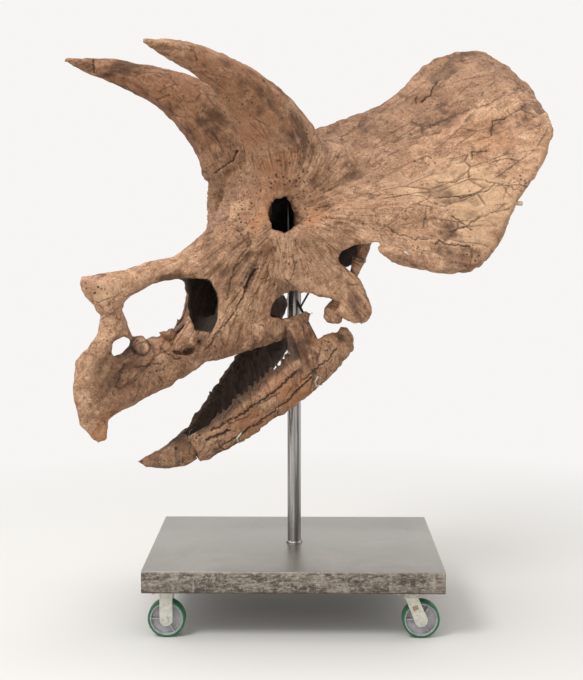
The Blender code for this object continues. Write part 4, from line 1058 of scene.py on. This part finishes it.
def make_casters():
    for row in ("front", "rear"):
        for kind in ("rigid", "swivel"):
            tag = kind + "_" + row
            low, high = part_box("stand_tyre_" + tag)
            hub = Vector(((low.x + high.x) / 2, (low.y + high.y) / 2, WHEEL_RADIUS))
            core, tyre = wheel(tag, hub)
            dress(creased(core), WHEEL_METAL, "wheel_" + tag, "wheel_core", "stand_wheel_" + tag)
            tyre.name = "tyre_" + tag
            dress(creased(tyre), GREEN_TYRE, "wheel_" + tag, "tyre", "stand_tyre_" + tag)
            node = "stand_fork_" + tag
            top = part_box(node)[1].z
            if kind == "rigid":
                plate = block("plate", (0.105, 0.085, 0.006), (hub.x, hub.y, top - 0.003))
                legs = fork("legs", hub.x, hub.y, top - 0.005, 0.0)
                whole = joined("caster_" + tag, [plate, legs] + plate_bolts(hub.x, hub.y, top - 0.006))
                dress(creased(whole), ZINC, "root", "caster_zinc", node)
                continue
            x = hub.x - TRAIL
            rows = [(-0.014, 0.0), (-0.014, 0.030), (-0.011, 0.034), (-0.0085, 0.0335), (-0.008, 0.031),
                    (-0.007, 0.031), (-0.0065, 0.036), (-0.003, 0.036), (0.0, 0.033), (0.0, 0.0)]
            disc = turned("race", rows, (x, hub.y, top), (0, 0, 1), 48, False)
            legs = fork("legs", x, hub.y, top - 0.013, TRAIL)
            whole = joined("caster_" + tag, [disc, legs])
            dress(creased(whole), ZINC, "swivel_" + row, "caster_zinc", node)
            lean = Matrix.Rotation(-math.atan2(TRAIL, top - WHEEL_RADIUS), 4, "Y")
            face = hub.y + (-1 if row == "front" else 1) * (FORK_INSIDE + FORK_SHEET + 0.0008)
            label = block("tag_" + row, (0.019, 0.0012, 0.015), (x + 0.014, face, 0.108), lean, 0.0003)
            dress(creased(label), TAG_PAINT, "swivel_" + row, "caster_zinc")
            low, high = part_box("stand_plate_" + row)
            plate = block("plate", tuple(high - low), (low + high) / 2)
            whole = joined("caster_plate_" + row, [plate] + plate_bolts(x, hub.y, low.z))
            dress(creased(whole), ZINC, "root", "caster_zinc", "stand_plate_" + row)


def plate_bolts(x, y, under):
    """Heads of the four bolts below a caster's plate."""
    rows = [(0.0002, 0.0), (0.0002, 0.0065), (-0.0035, 0.0065), (-0.0045, 0.0055), (-0.0045, 0.0)]
    return [turned("bolt", rows, (x + dx, y + dy, under), (0, 0, 1), 6, False)
            for dx in (-0.042, 0.042) for dy in (-0.0335, 0.0335)]


def make_post():
    low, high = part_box("stand_pole")
    foot, tip = low.z, high.z
    radius = 0.0242
    centre = (MIDDLE.x, MIDDLE.y, 0)
    rows = [(foot, 0.0), (foot, radius), (tip - 0.002, radius), (tip - 0.0006, radius - 0.0006),
            (tip, radius - 0.002), (tip, 0.0)]
    pole = turned("pole_pipe", rows, centre, (0, 0, 1), 72, False)
    rows = [(foot, radius - 0.002), (foot, 0.0292), (foot + 0.003, 0.0294), (foot + 0.006, 0.0280),
            (foot + 0.009, 0.0252), (foot + 0.010, radius - 0.002)]
    bead = turned("bead", rows, centre, (0, 0, 1), 144)
    co = positions(bead.data)
    flat = co[:, :2] - np.array(centre[:2])
    ripple = 1 + 0.020 * np.sin(np.arctan2(flat[:, 1], flat[:, 0]) * 34) * (co[:, 2] > foot + 0.002) - 0.02
    co[:, :2] = np.array(centre[:2]) + flat * ripple[:, None]
    put_positions(bead.data, co)
    whole = joined("pole", [pole, bead])
    dress(creased(whole), POLE_STEEL, "root", "pole_steel", "stand_pole")


def make_base():
    size = BASE_HIGH - BASE_LOW
    base = block("base", tuple(size), (BASE_LOW + BASE_HIGH) / 2, edge=0.003)
    dress(creased(base, 50), BASE_STEEL, "root", "base_steel", "stand_base")
    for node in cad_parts:
        if node.startswith("stand_strut") or node.startswith("stand_arm"):
            bar = copied(node, node.replace("stand_", "bar_"), 0.0008)
            dress(creased(bar), BAR_STEEL, "root", "pole_steel", node)


# --- floor, light and camera ---------------------------------------------------------------------------
WALL_LIGHT = 0.93                # brightness of the empty studio around
STUDIO_TINT = (1.0, 0.985, 0.965, 1)
LAMPS = (("key", (-2.4, -3.0, 4.4), 1.8, 130.0), ("top", (0.6, 0.4, 4.6), 2.0, 45.0))   # place, size, watts


def make_room():
    bm = bmesh.new()
    edge = bmesh.ops.create_circle(bm, segments=96, radius=40.0)["verts"]
    bmesh.ops.contextual_create(bm, geom=edge)
    bmesh.ops.recalc_face_normals(bm, faces=bm.faces)
    floor = from_bmesh("floor", bm)
    f = Finish("floor_paint")
    radius = f.node("ShaderNodeVectorMath", operation="LENGTH")
    f.link(f.place, radius.inputs[0])
    far = f.ramp(f.maths("DIVIDE", radius.outputs["Value"], 10.0), (0.11, 0.0), (0.30, 1.0))
    f.colour(f.mix(far, rgb(219, 218, 215), (0.0, 0.0, 0.0, 1)))
    f.link(f.maths("MULTIPLY", far, WALL_LIGHT), f.shader.inputs["Emission Strength"])
    f.shader.inputs["Emission Color"].default_value = STUDIO_TINT
    f.shader.inputs["Roughness"].default_value = 0.8
    f.shader.inputs["Specular IOR Level"].default_value = 0.0
    floor.data.materials.append(f.material)
    floor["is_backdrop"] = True
    world = bpy.data.worlds.new("studio")
    world.use_nodes = True
    sky = world.node_tree.nodes["Background"]
    sky.inputs["Color"].default_value = STUDIO_TINT
    sky.inputs["Strength"].default_value = WALL_LIGHT
    bpy.context.scene.world = world
    aim = MIDDLE + Vector((0, 0, 1.2))
    for name, place, size, power in LAMPS:
        light = bpy.data.lights.new(name, "AREA")
        light.shape = "DISK"
        light.size = size
        light.energy = power
        lamp = bpy.data.objects.new(name, light)
        lamp.location = MIDDLE + Vector(place)
        lamp.rotation_euler = (aim - lamp.location).to_track_quat("-Z", "Y").to_euler()
        bpy.context.scene.collection.objects.link(lamp)
    bpy.context.scene.view_settings.view_transform = "Standard"


CAMERA_AT = Vector((0.03853, -4.46735, 1.43499))
CAMERA_DOWN = math.radians(5.853)
CAMERA_YAW = math.radians(0.619)
FOCAL_PIXELS = 1259.19
FRAME_HEIGHT = 680               # pixels
SENSOR = 36.0                    # millimetres


def make_camera():
    camera = bpy.data.cameras.new("camera")
    camera.sensor_fit = "AUTO"
    camera.sensor_width = SENSOR
    camera.lens = SENSOR * FOCAL_PIXELS / FRAME_HEIGHT
    eye = bpy.data.objects.new("camera", camera)
    eye.location = MIDDLE + CAMERA_AT
    eye.rotation_euler = Euler((math.pi / 2 - CAMERA_DOWN, 0, CAMERA_YAW))
    bpy.context.scene.collection.objects.link(eye)
    bpy.context.scene.camera = eye


make_camera()
make_room()
make_skull()
make_jaws()
make_base()
make_post()
make_casters()
make_rods()

str([[list(map(float, corner)) for corner in box] for box in (cad_box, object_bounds())])
